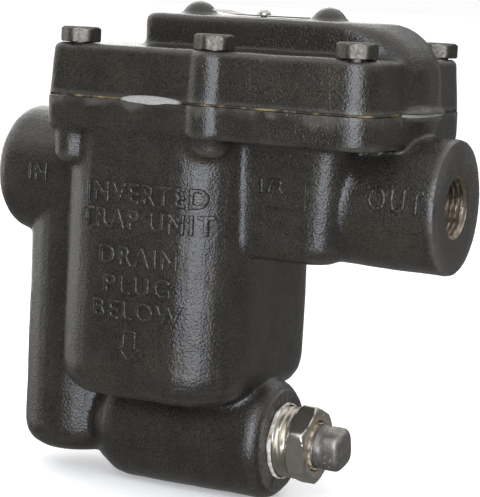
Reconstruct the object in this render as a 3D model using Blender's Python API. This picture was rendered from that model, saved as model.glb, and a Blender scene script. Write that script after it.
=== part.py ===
"""Inverted bucket steam trap with a built-in strainer, for a horizontal pipe run.

X runs along the pipe from the inlet to the outlet, Y runs across the trap and Z is up.
The origin is on the pipe's centre line, midway between the two port faces.
"""

import math

import bmesh
import bpy
from mathutils import Matrix, Vector

MM = 0.001
GAP = 0.3 * MM  # between two pieces that touch
WELD = 0.002 * MM
SPARE = 2.0 * MM  # how far a shape runs past the flat face that it is cut back to

# Pipe ports: 1/2 inch taper pipe threads in round bosses
FACE_TO_FACE = 171.0 * MM
PORT_R = 23.3 * MM
PORT_ROOT_R = 22.3 * MM
SOCKET_R = 9.9 * MM
SOCKET_DEPTH = 20.0 * MM

# Bolted joint between the body and the cover
BODY_TOP = 30.2 * MM
GASKET_T = 0.6 * MM
COVER_BOTTOM = 31.2 * MM
COVER_TOP = 48.6 * MM
BODY_FLANGE_BOTTOM = 19.0 * MM
BOLT_PITCH = 51.65 * MM
BOLT_MID_X = 10.15 * MM
BOLT_Y = 36.6 * MM
LOBE_R = 9.2 * MM
FLANGE_HALF_Y = 44.0 * MM
FLANGE_LEFT = -50.7 * MM
FLANGE_RIGHT = 71.0 * MM
LEFT_CORNER_R = 3.8 * MM
RIGHT_CORNER_R = 10.5 * MM
LUG_R = 7.0 * MM

# 5/16 inch hexagon head screws
BOLT_R = 3.7 * MM
BOLT_LENGTH = 25.5 * MM
HEAD_FLATS = 12.7 * MM
HEAD_HEIGHT = 5.3 * MM

# Outlet passage raised on the cover
DOME_TOP = 60.0 * MM
DOME_LEFT = -27.0 * MM
DOME_HALF_Y = 20.0 * MM
DOME_END_X = 74.8 * MM
DOME_BEND_R = 19.5 * MM
LIP_END_X = 77.0 * MM
LIP_HALF_Y = 20.8 * MM
PASSAGE_X = 60.5 * MM
PASSAGE_Z = 50.0 * MM

# Tank that holds the bucket: nearly flush with the flange on three sides
TANK_LEFT = -50.2 * MM
TANK_RIGHT = 20.5 * MM
TANK_HALF_Y = 42.2 * MM
TANK_CORNER_R = 22.0 * MM
TANK_BOTTOM = -74.5 * MM
TANK_X = -16.0 * MM
TANK_MOUTH_R = 31.0 * MM
TANK_WALL = 5.0 * MM
TANK_SHOULDER = 3.0 * MM
TANK_FLOOR = -68.0 * MM

# Inlet column and strainer chamber
COLUMN_X = -58.5 * MM
COLUMN_R = 20.0 * MM
COLUMN_TOP = 9.0 * MM
COLUMN_BOTTOM = -102.5 * MM
DOWNCOMER_X = -62.5 * MM
DOWNCOMER_R = 10.5 * MM
STRAINER_Z = -88.8 * MM
CHAMBER_R = 21.5 * MM
CHAMBER_FACE = 26.0 * MM
CHAMBER_START = -45.0 * MM
STRAINER_BORE_R = 13.0 * MM

# Blow-down bushing (1 inch hexagon) and its 3/8 inch square-head pipe plug
BUSHING_R = 12.7 * MM
BUSHING_END = 12.0 * MM
HEX_START = 33.0 * MM
HEX_END = 40.0 * MM
HEX_FLATS = 25.4 * MM
PLUG_HOLE_R = 8.8 * MM
PLUG_R = 7.6 * MM
PLUG_THREAD_END = 28.0 * MM
PLUG_HEAD_END = 50.5 * MM
PLUG_SQUARE = 14.0 * MM

# Valve gear under the cover: the lever rests open, with the bucket down
RECESS_TOP = 40.6 * MM
FULCRUM = Vector((10.5, 0.0, 32.8)) * MM
VALVE_ARM = 11.0 * MM
HOOK_ARM = 26.5 * MM
OPEN_ANGLE = math.radians(10.0)
LEVER_T = 1.6 * MM
LEVER_HALF_Y = 4.5 * MM
PIN_R = 1.4 * MM
DISC_R = 3.2 * MM
DISC_T = 2.4 * MM
BRACKET_SCREW_X = 15.7 * MM
BRACKET_SCREW_Y = 4.0 * MM
SEAT_BOTTOM = FULCRUM.z + LEVER_T / 2 + DISC_T + GAP

# Inverted bucket
BUCKET_R = 26.0 * MM
BUCKET_TOP = 15.5 * MM
BUCKET_HEIGHT = 62.0 * MM
BUCKET_WALL = 1.0 * MM
WIRE_R = 1.1 * MM

COLOURS = {
    "black_paint": ((0.035, 0.033, 0.031), 0.42, 0.0),
    "dull_steel": ((0.30, 0.30, 0.28), 0.45, 1.0),
    "stainless": ((0.60, 0.58, 0.54), 0.28, 1.0),
    "tag_metal": ((0.66, 0.65, 0.58), 0.35, 1.0),
    "gasket_sheet": ((0.42, 0.40, 0.36), 0.85, 0.0),
    "white_seal": ((0.78, 0.76, 0.72), 0.60, 0.0),
    "thread_tape": ((0.72, 0.66, 0.55), 0.70, 0.0),
}


def clear_scene():
    for obj in list(bpy.data.objects):
        bpy.data.objects.remove(obj)


def material(name):
    """The shared Principled material of this name."""
    found = bpy.data.materials.get(name)
    if found:
        return found
    colour, roughness, metallic = COLOURS[name]
    made = bpy.data.materials.new(name)
    made.use_nodes = True
    shader = made.node_tree.nodes["Principled BSDF"]
    shader.inputs["Base Color"].default_value = (*colour, 1.0)
    shader.inputs["Roughness"].default_value = roughness
    shader.inputs["Metallic"].default_value = metallic
    return made


def add_object(name, mesh):
    obj = bpy.data.objects.new(name, mesh)
    bpy.context.scene.collection.objects.link(obj)
    return obj


def from_bmesh(name, bm):
    bmesh.ops.recalc_face_normals(bm, faces=bm.faces)
    mesh = bpy.data.meshes.new(name)
    bm.to_mesh(mesh)
    bm.free()
    return add_object(name, mesh)


def empty(name, place, tilt=0.0):
    """A joint's frame: its origin is on the joint's axis."""
    obj = add_object(name, None)
    obj.location = place
    obj.rotation_euler = (0.0, tilt, 0.0)
    return obj


def finish(obj, material_name, parent=None):
    """Gives a piece its material, its smooth round faces and its parent."""
    obj.data.materials.clear()
    obj.data.materials.append(material(material_name))
    obj.data.shade_smooth()
    obj.data.set_sharp_from_angle(angle=math.radians(35))
    obj.parent = parent
    return obj


def combine(base, tools, operation):
    """Unites the tools with the base, or cuts them out of it, and removes them.

    Every shape here is closed, and the castings have too many meeting walls for EXACT.
    """
    for tool in tools:
        modifier = base.modifiers.new(tool.name, "BOOLEAN")
        modifier.operation = operation
        modifier.solver = "MANIFOLD"
        modifier.object = tool
    graph = bpy.context.evaluated_depsgraph_get()
    mesh = bpy.data.meshes.new_from_object(base.evaluated_get(graph))
    base.modifiers.clear()
    base.data = mesh
    for tool in tools:
        bpy.data.objects.remove(tool)
    weld(mesh)
    return base


def weld(mesh):
    """Makes one point of those that a cut leaves within a micrometre or so of each other."""
    bm = bmesh.new()
    bm.from_mesh(mesh)
    bmesh.ops.triangulate(bm, faces=bm.faces)
    bmesh.ops.remove_doubles(bm, verts=bm.verts, dist=WELD)
    bmesh.ops.dissolve_degenerate(bm, edges=bm.edges, dist=WELD)
    bm.to_mesh(mesh)
    bm.free()


def unite(base, *tools):
    return combine(base, tools, "UNION")


def cut(base, *tools):
    return combine(base, tools, "DIFFERENCE")


TURNS = {
    "X": Matrix.Rotation(math.pi / 2, 4, "Y"),
    "Y": Matrix.Rotation(-math.pi / 2, 4, "X"),
    "Z": Matrix.Identity(4),
}


def turned(name, profile, axis="Z", place=(0, 0, 0), steps=32):
    """A solid of revolution. Its profile is (radius, height) points along the axis."""
    bm = bmesh.new()
    points = [bm.verts.new((r, 0.0, h)) for r, h in profile]
    for i, point in enumerate(points):
        bm.edges.new((point, points[(i + 1) % len(points)]))
    bmesh.ops.spin(
        bm, geom=bm.verts[:] + bm.edges[:], axis=(0, 0, 1), cent=(0, 0, 0),
        angle=2 * math.pi, steps=steps,
    )
    bmesh.ops.remove_doubles(bm, verts=bm.verts, dist=1e-6)
    on_axis = [e for e in bm.edges if all(v.co.xy.length < 1e-6 for v in e.verts)]
    bmesh.ops.delete(bm, geom=on_axis, context="EDGES_FACES")
    bmesh.ops.transform(bm, matrix=Matrix.Translation(place) @ TURNS[axis], verts=bm.verts)
    return from_bmesh(name, bm)


def rod(name, r, low, high, axis="Z", place=(0, 0, 0), steps=32):
    """A plain cylinder from low to high along its axis."""
    return turned(name, [(0, low), (r, low), (r, high), (0, high)], axis, place, steps)


def pipe(name, r, bore, low, high, axis="Z", place=(0, 0, 0), steps=32):
    return turned(name, [(bore, low), (r, low), (r, high), (bore, high)], axis, place, steps)


def arc(centre, r, start, end, count):
    """Points on a circle, from one angle to another, in degrees."""
    step = (end - start) / count
    angles = [math.radians(start + i * step) for i in range(count + 1)]
    return [(centre[0] + r * math.cos(a), centre[1] + r * math.sin(a)) for a in angles]


def rounded_box(x0, x1, half_y, r0, r1, count=5):
    """Outline of a box with its corners rounded, by r0 at x0 and by r1 at x1."""
    return (
        arc((x1 - r1, r1 - half_y), r1, -90, 0, count)
        + arc((x1 - r1, half_y - r1), r1, 0, 90, count)
        + arc((x0 + r0, half_y - r0), r0, 90, 180, count)
        + arc((x0 + r0, r0 - half_y), r0, 180, 270, count)
    )


def flange_outline(inset):
    """The bolting flange: a box with round corners, and a lobe at the middle screw of each side."""
    r = LOBE_R - inset
    side = FLANGE_HALF_Y - inset
    turn = math.degrees(math.asin((side - BOLT_Y) / r))
    near, far = LEFT_CORNER_R - inset, RIGHT_CORNER_R - inset
    front = (
        arc((FLANGE_LEFT + LEFT_CORNER_R, near - side), near, 180, 270, 7)
        + arc((BOLT_MID_X, -BOLT_Y), r, 180 + turn, 360 - turn, 6)
        + arc((FLANGE_RIGHT - RIGHT_CORNER_R, far - side), far, 270, 360, 7)
    )
    back = [(x, -y) for x, y in reversed(front)]
    return front + back


def nose_outline(inset):
    """The end of the joint under the outlet passage, where it runs out past the flange."""
    return rounded_box(40 * MM, LIP_END_X - inset, LIP_HALF_Y - inset, 2 * MM, 17 * MM - inset, 8)


def loft(name, sections):
    """A closed solid through outlines of equal point counts, each at its own height."""
    bm = bmesh.new()
    rings = [[bm.verts.new((x, y, z)) for x, y in points] for points, z in sections]
    for low, high in zip(rings, rings[1:]):
        for i in range(len(low)):
            j = (i + 1) % len(low)
            bm.faces.new((low[i], low[j], high[j], high[i]))
    bm.faces.new(list(reversed(rings[0])))
    bm.faces.new(rings[-1])
    return from_bmesh(name, bm)


def slab(low, high):
    """A cutter wider than the trap, that leaves a flat face at low or at high."""
    half = 100 * MM
    square = [(-half, -half), (half, -half), (half, half), (-half, half)]
    return loft("slab", [(square, low), (square, high)])


def bolt_places():
    return [
        (BOLT_MID_X + column * BOLT_PITCH, row * BOLT_Y)
        for row in (-1, 1)
        for column in (-1, 0, 1)
    ]


def fillet(r, centre_r, centre_h, start, end, count=4):
    """Profile points of a rounded edge on a turned shape."""
    return arc((centre_r, centre_h), r, start, end, count)


def port_boss(name, sign, root_x, edge_r):
    """A pipe boss from root_x out to its flat face, with its rim rounded by edge_r."""
    face = FACE_TO_FACE / 2
    profile = [(0, abs(root_x)), (PORT_ROOT_R, abs(root_x))]
    profile += fillet(edge_r, PORT_R - edge_r, face - edge_r, 0, 90)
    profile += [(0, face)]
    boss = turned(name, profile, "X", steps=40)
    if sign < 0:
        boss.data.transform(Matrix.Rotation(math.pi, 4, "Z"))
    return boss


def body_outside():
    flange = loft(
        "body",
        [
            (flange_outline(1.2 * MM), BODY_FLANGE_BOTTOM),
            (flange_outline(0.0), BODY_FLANGE_BOTTOM + 1.5 * MM),
            (flange_outline(0.0), BODY_TOP + SPARE),
        ],
    )
    edge = 11.0 * MM
    tank_sections = []
    for inset, rise in fillet(edge, edge, edge, 270, 180):
        outline = rounded_box(
            TANK_LEFT + inset, TANK_RIGHT - inset, TANK_HALF_Y - inset,
            TANK_CORNER_R - inset, TANK_CORNER_R - inset, 8,
        )
        tank_sections.append((outline, TANK_BOTTOM + rise))
    tank_sections.append((tank_sections[-1][0], BODY_FLANGE_BOTTOM + 2 * SPARE))
    tank = loft("tank", tank_sections)
    toe = 9.0 * MM
    column = turned(
        "column",
        [(0, COLUMN_BOTTOM), *fillet(toe, COLUMN_R - toe, COLUMN_BOTTOM + toe, -90, 0),
         (COLUMN_R, COLUMN_TOP), (0, COLUMN_TOP)],
        place=(COLUMN_X, 0, 0), steps=32,
    )
    rim = 5.5 * MM
    chamber = turned(
        "chamber",
        [(0, CHAMBER_START), (CHAMBER_R - 7.5 * MM, CHAMBER_START),
         (CHAMBER_R - 4.5 * MM, CHAMBER_START + 3.0 * MM),
         (CHAMBER_R - 0.8 * MM, CHAMBER_START + 9.0 * MM),
         (CHAMBER_R, CHAMBER_START + 13.0 * MM),
         *fillet(rim, CHAMBER_R - rim, CHAMBER_FACE - rim, 0, 90), (0, CHAMBER_FACE)],
        "X", (0, 0, STRAINER_Z), 40,
    )
    outlet_chamber = loft(
        "outlet_chamber",
        [
            (rounded_box(-12 * MM, 48 * MM, 23 * MM, 6 * MM, 6 * MM), -21.5 * MM),
            (rounded_box(-12 * MM, 51 * MM, 26 * MM, 8 * MM, 8 * MM), -20.0 * MM),
            (rounded_box(-12 * MM, 52.5 * MM, 27.5 * MM, 9 * MM, 9 * MM), -16.0 * MM),
            (rounded_box(-12 * MM, 55 * MM, 29 * MM, 9 * MM, 9 * MM), BODY_FLANGE_BOTTOM + 2 * MM),
        ],
    )
    neck = loft(
        "neck",
        [
            (rounded_box(46 * MM, 83 * MM, 17 * MM, 6 * MM, 9 * MM), 2 * MM),
            (rounded_box(46 * MM, 79 * MM, 16.5 * MM, 6 * MM, 13 * MM), 10 * MM),
            (rounded_box(46 * MM, 75 * MM, 15.5 * MM, 6 * MM, 13 * MM), 18 * MM),
            (rounded_box(46 * MM, 74 * MM, 15.5 * MM, 6 * MM, 13 * MM), 25 * MM),
            (rounded_box(46 * MM, 76 * MM, 19 * MM, 6 * MM, 16 * MM), 29 * MM),
            (rounded_box(46 * MM, 76.2 * MM, 20 * MM, 6 * MM, 17 * MM), BODY_TOP + 2 * SPARE),
        ],
    )
    lugs = []
    for x, y in bolt_places():
        if x > BOLT_MID_X:
            continue
        low, shift = (7.5 * MM, -1.6 * MM) if x < BOLT_MID_X else (13.0 * MM, 0.0)
        lugs.append(
            turned(
                "lug",
                [(0, low), (LUG_R - 2.5 * MM, low), (LUG_R - 0.5 * MM, low + 2 * MM),
                 (LUG_R, BODY_FLANGE_BOTTOM + 3 * MM), (0, BODY_FLANGE_BOTTOM + 3 * MM)],
                place=(x + shift, y, 0), steps=20,
            )
        )
    inlet = port_boss("inlet", -1, 40 * MM, 6.5 * MM)
    outlet = port_boss("outlet", 1, 40 * MM, 1.2 * MM)
    return unite(flange, tank, column, chamber, outlet_chamber, neck, inlet, outlet, *lugs)


def tank_cavity():
    """The cored space under the round mouth: the tank's outline, less its wall."""
    wall = TANK_WALL
    outline = rounded_box(
        TANK_LEFT + wall, TANK_RIGHT - wall, TANK_HALF_Y - wall,
        TANK_CORNER_R - wall, TANK_CORNER_R - wall, 6,
    )
    return loft("tank_cavity", [(outline, TANK_FLOOR), (outline, TANK_SHOULDER)])


def make_body():
    body = body_outside()
    pocket = rounded_box(5 * MM, 47 * MM, 22 * MM, 2 * MM, 4 * MM, 4)
    face = FACE_TO_FACE / 2
    below = 1.0 * MM
    hollows = [
        slab(BODY_TOP, BODY_TOP + 4 * SPARE),
        rod("tank_mouth", TANK_MOUTH_R, -SPARE, BODY_TOP + below, place=(TANK_X, 0, 0), steps=48),
        tank_cavity(),
        loft("side_pocket", [(pocket, -16 * MM), (pocket, 13 * MM)]),
        rod("inlet_socket", SOCKET_R, -face - below, -face + SOCKET_DEPTH, "X"),
        rod("inlet_turn", 7.2 * MM, -face + SOCKET_DEPTH - below, DOWNCOMER_X + SPARE, "X", steps=20),
        rod("downcomer", DOWNCOMER_R, STRAINER_Z - SPARE, SPARE, place=(DOWNCOMER_X, 0, 0), steps=24),
        rod("strainer_bore", STRAINER_BORE_R, -38 * MM, CHAMBER_FACE + below, "X", (0, 0, STRAINER_Z)),
        rod("screen_seat", 12 * MM, -46 * MM, -37 * MM, "X", (0, 0, STRAINER_Z)),
        rod("screen_feed", 7 * MM, DOWNCOMER_X + SPARE / 2, -45 * MM, "X", (0, 0, STRAINER_Z), 20),
        rod("tube_hole", 7.3 * MM, STRAINER_Z + 3 * SPARE, TANK_FLOOR + below, place=(TANK_X, 0, 0), steps=24),
        rod("outlet_socket", SOCKET_R, face - SOCKET_DEPTH, face + below, "X"),
        rod("outlet_turn", 7.2 * MM, PASSAGE_X - SPARE, face - SOCKET_DEPTH + below, "X", steps=20),
        rod("outlet_drop", 7.8 * MM, -2 * SPARE, BODY_TOP + below, place=(PASSAGE_X, 0, 0), steps=24),
    ]
    hollows += [
        rod("thread", BOLT_R + GAP, COVER_TOP - BOLT_LENGTH - 1.5 * MM, BODY_TOP + below,
            place=(x, y, 0), steps=16)
        for x, y in bolt_places()
    ]
    return finish(cut(body, *hollows), "black_paint")


def dome_section(z):
    """Plan outline of the raised passage at a height. Its far end bends down in an arc."""
    bend_z = DOME_TOP - DOME_BEND_R
    rise = min(max(z - bend_z, 0.0), DOME_BEND_R)
    set_back = DOME_BEND_R - math.sqrt(DOME_BEND_R**2 - rise**2)
    crown = 2.5 * MM
    depth = min(max(z - (DOME_TOP - crown), 0.0), crown)
    inset = crown - math.sqrt(crown**2 - depth**2)
    half_y = DOME_HALF_Y - inset
    far = min(set_back, DOME_BEND_R - 3 * MM)
    return rounded_box(DOME_LEFT + inset, DOME_END_X - far, half_y, 4 * MM, 16 * MM, 6)


def make_cover():
    cover = loft(
        "cover",
        [
            (flange_outline(0.0), COVER_BOTTOM - SPARE),
            (flange_outline(1.3 * MM), COVER_TOP - 1.8 * MM),
            (flange_outline(2.0 * MM), COVER_TOP - 0.5 * MM),
            (flange_outline(3.3 * MM), COVER_TOP),
        ],
    )
    heights = (27.0, 40.5, 45.0, 49.0, 52.5, 55.5, 57.5, 58.8, 59.6, 60.0)
    dome = loft("dome", [(dome_section(z * MM), z * MM) for z in heights])
    lip = loft(
        "lip",
        [(nose_outline(0.0), COVER_BOTTOM - SPARE), (nose_outline(0.0), COVER_BOTTOM + 0.6 * MM),
         (nose_outline(1.6 * MM), COVER_BOTTOM + 1.8 * MM)],
    )
    knob_r = 6.7 * MM
    knobs = []
    for x in (-15.1 * MM, 35.2 * MM):
        bm = bmesh.new()
        bmesh.ops.create_uvsphere(bm, u_segments=20, v_segments=12, radius=knob_r)
        bmesh.ops.translate(bm, verts=bm.verts, vec=(x, 0, DOME_TOP + 4.7 * MM - knob_r))
        knobs.append(from_bmesh("knob", bm))
    unite(cover, dome, lip, *knobs)
    below = COVER_BOTTOM - SPARE
    seat_x = FULCRUM.x - VALVE_ARM
    recess = rounded_box(-45 * MM, 46 * MM, 27 * MM, 10 * MM, 8 * MM)
    hollows = [
        slab(COVER_BOTTOM - 4 * SPARE, COVER_BOTTOM),
        loft("recess", [(recess, below), (recess, RECESS_TOP)]),
        rod("passage", 6.5 * MM, seat_x - 4 * MM, PASSAGE_X + SPARE, "X", (0, 0, PASSAGE_Z), 20),
        rod("drop", 7.8 * MM, below, PASSAGE_Z + 2.2 * MM, place=(PASSAGE_X, 0, 0), steps=24),
        rod("seat_hole", 5.0 * MM, RECESS_TOP - 1 * MM, PASSAGE_Z, place=(seat_x, 0, 0), steps=16),
        rod("tag_hole", 1.3 * MM, DOME_TOP - 3 * MM, DOME_TOP + 1 * MM,
            place=(BOLT_MID_X, 0, 0), steps=12),
    ]
    hollows += [
        rod("bracket_hole", 1.6 * MM, RECESS_TOP - 1 * MM, RECESS_TOP + 2.8 * MM,
            place=(BRACKET_SCREW_X, y, 0), steps=12)
        for y in (-BRACKET_SCREW_Y, BRACKET_SCREW_Y)
    ]
    hollows += [
        rod("clearance", 4.3 * MM, below, COVER_TOP + 1 * MM, place=(x, y, 0), steps=16)
        for x, y in bolt_places()
    ]
    return finish(cut(cover, *hollows), "black_paint")


def make_gasket():
    low = BODY_TOP + (COVER_BOTTOM - BODY_TOP - GASKET_T) / 2
    sheet = flange_outline(1.0 * MM)
    gasket = loft("cover_gasket", [(sheet, low), (sheet, low + GASKET_T)])
    nose = nose_outline(1.0 * MM)
    unite(gasket, loft("nose", [(nose, low), (nose, low + GASKET_T)]))
    z0, z1 = low - 1 * MM, low + 2 * MM
    holes = [
        rod("hole", 4.6 * MM, z0, z1, place=(x, y, 0), steps=16) for x, y in bolt_places()
    ]
    holes.append(rod("hole", TANK_MOUTH_R + 0.5 * MM, z0, z1, place=(TANK_X, 0, 0), steps=48))
    holes.append(rod("hole", 8.2 * MM, z0, z1, place=(PASSAGE_X, 0, 0), steps=24))
    return finish(cut(gasket, *holes), "gasket_sheet")


def hexagon(name, flats, low, high, axis="Z", place=(0, 0, 0), turn=0.0):
    """A hexagonal prism with its outer corners turned down at both ends."""
    corner = flats / math.sqrt(3)
    height = high - low
    prism = turned(name, [(0, low), (corner, low), (corner, high), (0, high)], steps=6)
    chamfer = corner - flats / 2 * 0.98
    rise = chamfer * 0.6
    barrel = turned(
        "barrel",
        [(0, low), (corner - chamfer, low), (corner + 0.1 * MM, low + rise),
         (corner + 0.1 * MM, low + height - rise), (corner - chamfer, high), (0, high)],
        steps=24,
    )
    combine(prism, [barrel], "INTERSECT")
    matrix = Matrix.Translation(place) @ TURNS[axis] @ Matrix.Rotation(turn, 4, "Z")
    prism.data.transform(matrix)
    return prism


def make_cover_bolts():
    """Six screws that share one mesh, whose origin is under the head."""
    first = hexagon("cover_bolt_1", HEAD_FLATS, 0.0, HEAD_HEIGHT)
    shank = turned(
        "shank",
        [(0, -BOLT_LENGTH), (BOLT_R - 1 * MM, -BOLT_LENGTH), (BOLT_R, 1 * MM - BOLT_LENGTH),
         (BOLT_R, 1 * MM), (0, 1 * MM)],
        steps=16,
    )
    unite(first, shank)
    finish(first, "dull_steel")
    for number, (x, y) in enumerate(bolt_places(), 1):
        bolt = first if number == 1 else add_object(f"cover_bolt_{number}", first.data)
        bolt.location = (x, y, COVER_TOP + 0.15 * MM)
        bolt.rotation_euler = (0.0, 0.0, math.radians(8.0 + 7.0 * (number % 3)))


def make_nameplate():
    """A thin tag between the two knobs, bent up at one end, held by one drive screw."""
    z = DOME_TOP + 0.25 * MM
    thick = 0.5 * MM
    half_y = 9 * MM
    stations = [(-6.5, 1.3), (-1.0, 0.7), (4.0, 0.2), (7.5, 0.0), (27.0, 0.0)]
    low = [(x * MM, z + rise * MM) for x, rise in stations]
    side = low + [(x, h + thick) for x, h in reversed(low)]
    bm = bmesh.new()
    face = bm.faces.new([bm.verts.new((x, -half_y, h)) for x, h in side])
    grown = bmesh.ops.extrude_face_region(bm, geom=[face])
    moved = [v for v in grown["geom"] if isinstance(v, bmesh.types.BMVert)]
    bmesh.ops.translate(bm, verts=moved, vec=(0, 2 * half_y, 0))
    tag = from_bmesh("nameplate", bm)
    hole = rod("hole", 1.4 * MM, z - 1 * MM, z + 2 * MM, place=(BOLT_MID_X, 0, 0), steps=12)
    finish(cut(tag, hole), "tag_metal")
    top = z + thick + 0.15 * MM
    head_r, head_h = 2.5 * MM, 1.9 * MM
    dome = arc((0, 0), 1.0, 0, 90, 4)
    profile = [(0, DOME_TOP - 2.6 * MM), (1.0 * MM, DOME_TOP - 2.6 * MM), (1.0 * MM, top)]
    profile += [(head_r * c, top + head_h * s) for c, s in dome[:-1]] + [(0, top + head_h)]
    finish(turned("nameplate_screw", profile, place=(BOLT_MID_X, 0, 0), steps=16), "tag_metal")


def make_valve_seat():
    x = FULCRUM.x - VALVE_ARM
    seat = hexagon("valve_seat", 11.0 * MM, SEAT_BOTTOM + 1 * MM, RECESS_TOP - GAP,
                   place=(x, 0, 0), turn=math.radians(30))
    lip = rod("lip", 3.0 * MM, SEAT_BOTTOM, SEAT_BOTTOM + 2 * MM, place=(x, 0, 0), steps=16)
    shank = rod("shank", 4.7 * MM, RECESS_TOP - 1.5 * MM, RECESS_TOP + 5 * MM, place=(x, 0, 0), steps=16)
    unite(seat, lip, shank)
    orifice = rod("orifice", 1.6 * MM, SEAT_BOTTOM - 1 * MM, RECESS_TOP + 6 * MM,
                  place=(x, 0, 0), steps=12)
    return finish(cut(seat, orifice), "stainless")


def make_guide_bracket():
    """A pressed U: a foot screwed to the cover and two cheeks that hold the fulcrum pin."""
    thick = 1.5 * MM
    foot_top = RECESS_TOP - GAP
    x0, x1 = FULCRUM.x - 4 * MM, FULCRUM.x + 7.5 * MM
    foot = rounded_box(x0, x1, 8 * MM, 1 * MM, 1 * MM, 2)
    bracket = loft("guide_bracket", [(foot, foot_top - thick), (foot, foot_top)])
    cheek_x1 = FULCRUM.x + 2.4 * MM
    cheek_low = FULCRUM.z - 3.5 * MM
    for sign in (-1, 1):
        inner, outer = sign * (8 * MM - thick), sign * 8 * MM
        outline = [(x0, inner), (cheek_x1, inner), (cheek_x1, outer), (x0, outer)][::sign]
        cheek = loft("cheek", [(outline, cheek_low), (outline, foot_top - thick / 2)])
        unite(bracket, cheek)
    cuts = [rod("hole", PIN_R + GAP, -12 * MM, 12 * MM, "Y", FULCRUM, 16)]
    cuts += [
        rod("hole", 1.6 * MM, foot_top - 3 * MM, foot_top + 1 * MM,
            place=(BRACKET_SCREW_X, y, 0), steps=12)
        for y in (-BRACKET_SCREW_Y, BRACKET_SCREW_Y)
    ]
    finish(cut(bracket, *cuts), "stainless")
    under = foot_top - thick - 0.2 * MM
    for number, y in ((1, -BRACKET_SCREW_Y), (2, BRACKET_SCREW_Y)):
        screw = turned(
            f"bracket_screw_{number}",
            [(0, under - 1.8 * MM), (1.8 * MM, under - 1.8 * MM), (2.4 * MM, under - 1.2 * MM),
             (2.4 * MM, under), (1.3 * MM, under), (1.3 * MM, RECESS_TOP + 2.4 * MM),
             (0, RECESS_TOP + 2.4 * MM)],
            steps=16,
        )
        screw.location = (BRACKET_SCREW_X, y, 0)
        finish(screw, "stainless")
    pin = turned(
        "fulcrum_pin",
        [(0, -10 * MM), (PIN_R + 0.9 * MM, -10 * MM), (PIN_R + 0.9 * MM, -8.4 * MM),
         (PIN_R, -8.4 * MM), (PIN_R, 9.4 * MM), (0, 9.4 * MM)],
        "Y", steps=16,
    )
    pin.location = FULCRUM
    finish(pin, "stainless")


def make_lever(frame):
    """The lever and its valve disc, drawn level about the fulcrum; the frame tilts them open."""
    half_t = LEVER_T / 2
    outline = rounded_box(-HOOK_ARM - 4.5 * MM, 2 * MM, LEVER_HALF_Y, 4 * MM, 1 * MM, 4)
    lever = loft("valve_lever", [(outline, -half_t), (outline, half_t)])
    unite(lever, rod("eye", 3.0 * MM, -LEVER_HALF_Y, LEVER_HALF_Y, "Y", steps=20))
    cut(
        lever,
        rod("hole", PIN_R + GAP, -8 * MM, 8 * MM, "Y", steps=16),
        rod("hole", 1.3 * MM, -2 * MM, 2 * MM, place=(-VALVE_ARM, 0, 0), steps=12),
        rod("hole", 2.5 * MM, -2 * MM, 2 * MM, place=(-HOOK_ARM, 0, 0), steps=16),
    )
    finish(lever, "stainless", frame)
    disc = turned(
        "valve_disc",
        [(0, half_t + 0.2 * MM), (DISC_R, half_t + 0.2 * MM), (DISC_R, half_t + 1.6 * MM),
         (DISC_R - 0.8 * MM, half_t + DISC_T), (0, half_t + DISC_T)],
        steps=20,
    )
    stem = rod("stem", 1.0 * MM, -half_t - 0.6 * MM, half_t + 1 * MM, steps=12)
    unite(disc, stem)
    disc.location = (-VALVE_ARM, 0, 0)
    finish(disc, "stainless", frame)
    nut = pipe("valve_retainer", 2.2 * MM, 1.25 * MM, -half_t - 1.1 * MM, -half_t - 0.2 * MM, steps=16)
    nut.location = (-VALVE_ARM, 0, 0)
    finish(nut, "stainless", frame)


def make_bucket(frame):
    """The inverted bucket and its wire hook. Heights are measured from the hook's pivot."""
    top = BUCKET_TOP - frame.location.z
    rim = top - BUCKET_HEIGHT
    wall = BUCKET_WALL
    edge = 4 * MM
    outside = fillet(edge, BUCKET_R - edge, top - edge, 0, 90)
    inside = fillet(edge - wall, BUCKET_R - edge, top - edge, 90, 0)
    bucket = turned(
        "bucket",
        [(BUCKET_R, rim), *outside, (0, top), (0, top - wall), *inside, (BUCKET_R - wall, rim)],
        steps=40,
    )
    cut(
        bucket,
        rod("vent", 1.0 * MM, top - 4 * MM, top + 2 * MM, place=(13 * MM, 0, 0), steps=8),
        rod("hole", WIRE_R + GAP, top - 4 * MM, top + 2 * MM, steps=12),
    )
    finish(bucket, "stainless", frame)
    finish(make_hook(top), "stainless", frame)
    clip = pipe("hook_retainer", 4.0 * MM, WIRE_R + GAP, top - wall - 1.6 * MM, top - wall - GAP, steps=16)
    finish(clip, "stainless", frame)


def make_hook(top):
    """A wire up through the bucket's top, past the lever's end and down into its hole."""
    crook_r = 3.6 * MM
    side_x = -2 * crook_r
    route = [(0, 0, top - 3.6 * MM), (0, 0, top + 1.5 * MM)]
    route += [(-1.5 * MM, 0, top + 3.0 * MM), (side_x + 0.6 * MM, 0, top + 4.2 * MM)]
    route += [(side_x, 0, top + 6.0 * MM)]
    route += [(x, 0, z) for x, z in arc((-crook_r, 0.5 * MM), crook_r, 180, 0, 8)]
    route.append((0, 0, -2.2 * MM))
    curve = bpy.data.curves.new("bucket_hook", "CURVE")
    curve.dimensions = "3D"
    curve.bevel_depth = WIRE_R
    curve.bevel_resolution = 1
    curve.use_fill_caps = True
    spline = curve.splines.new("POLY")
    spline.points.add(len(route) - 1)
    for point, place in zip(spline.points, route):
        point.co = (*place, 1.0)
    guide = add_object("bucket_hook_guide", curve)
    graph = bpy.context.evaluated_depsgraph_get()
    mesh = bpy.data.meshes.new_from_object(guide.evaluated_get(graph))
    bpy.data.objects.remove(guide)
    bm = bmesh.new()
    bm.from_mesh(mesh)
    bmesh.ops.remove_doubles(bm, verts=bm.verts, dist=1e-6)
    return from_bmesh("bucket_hook", bm)


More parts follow.
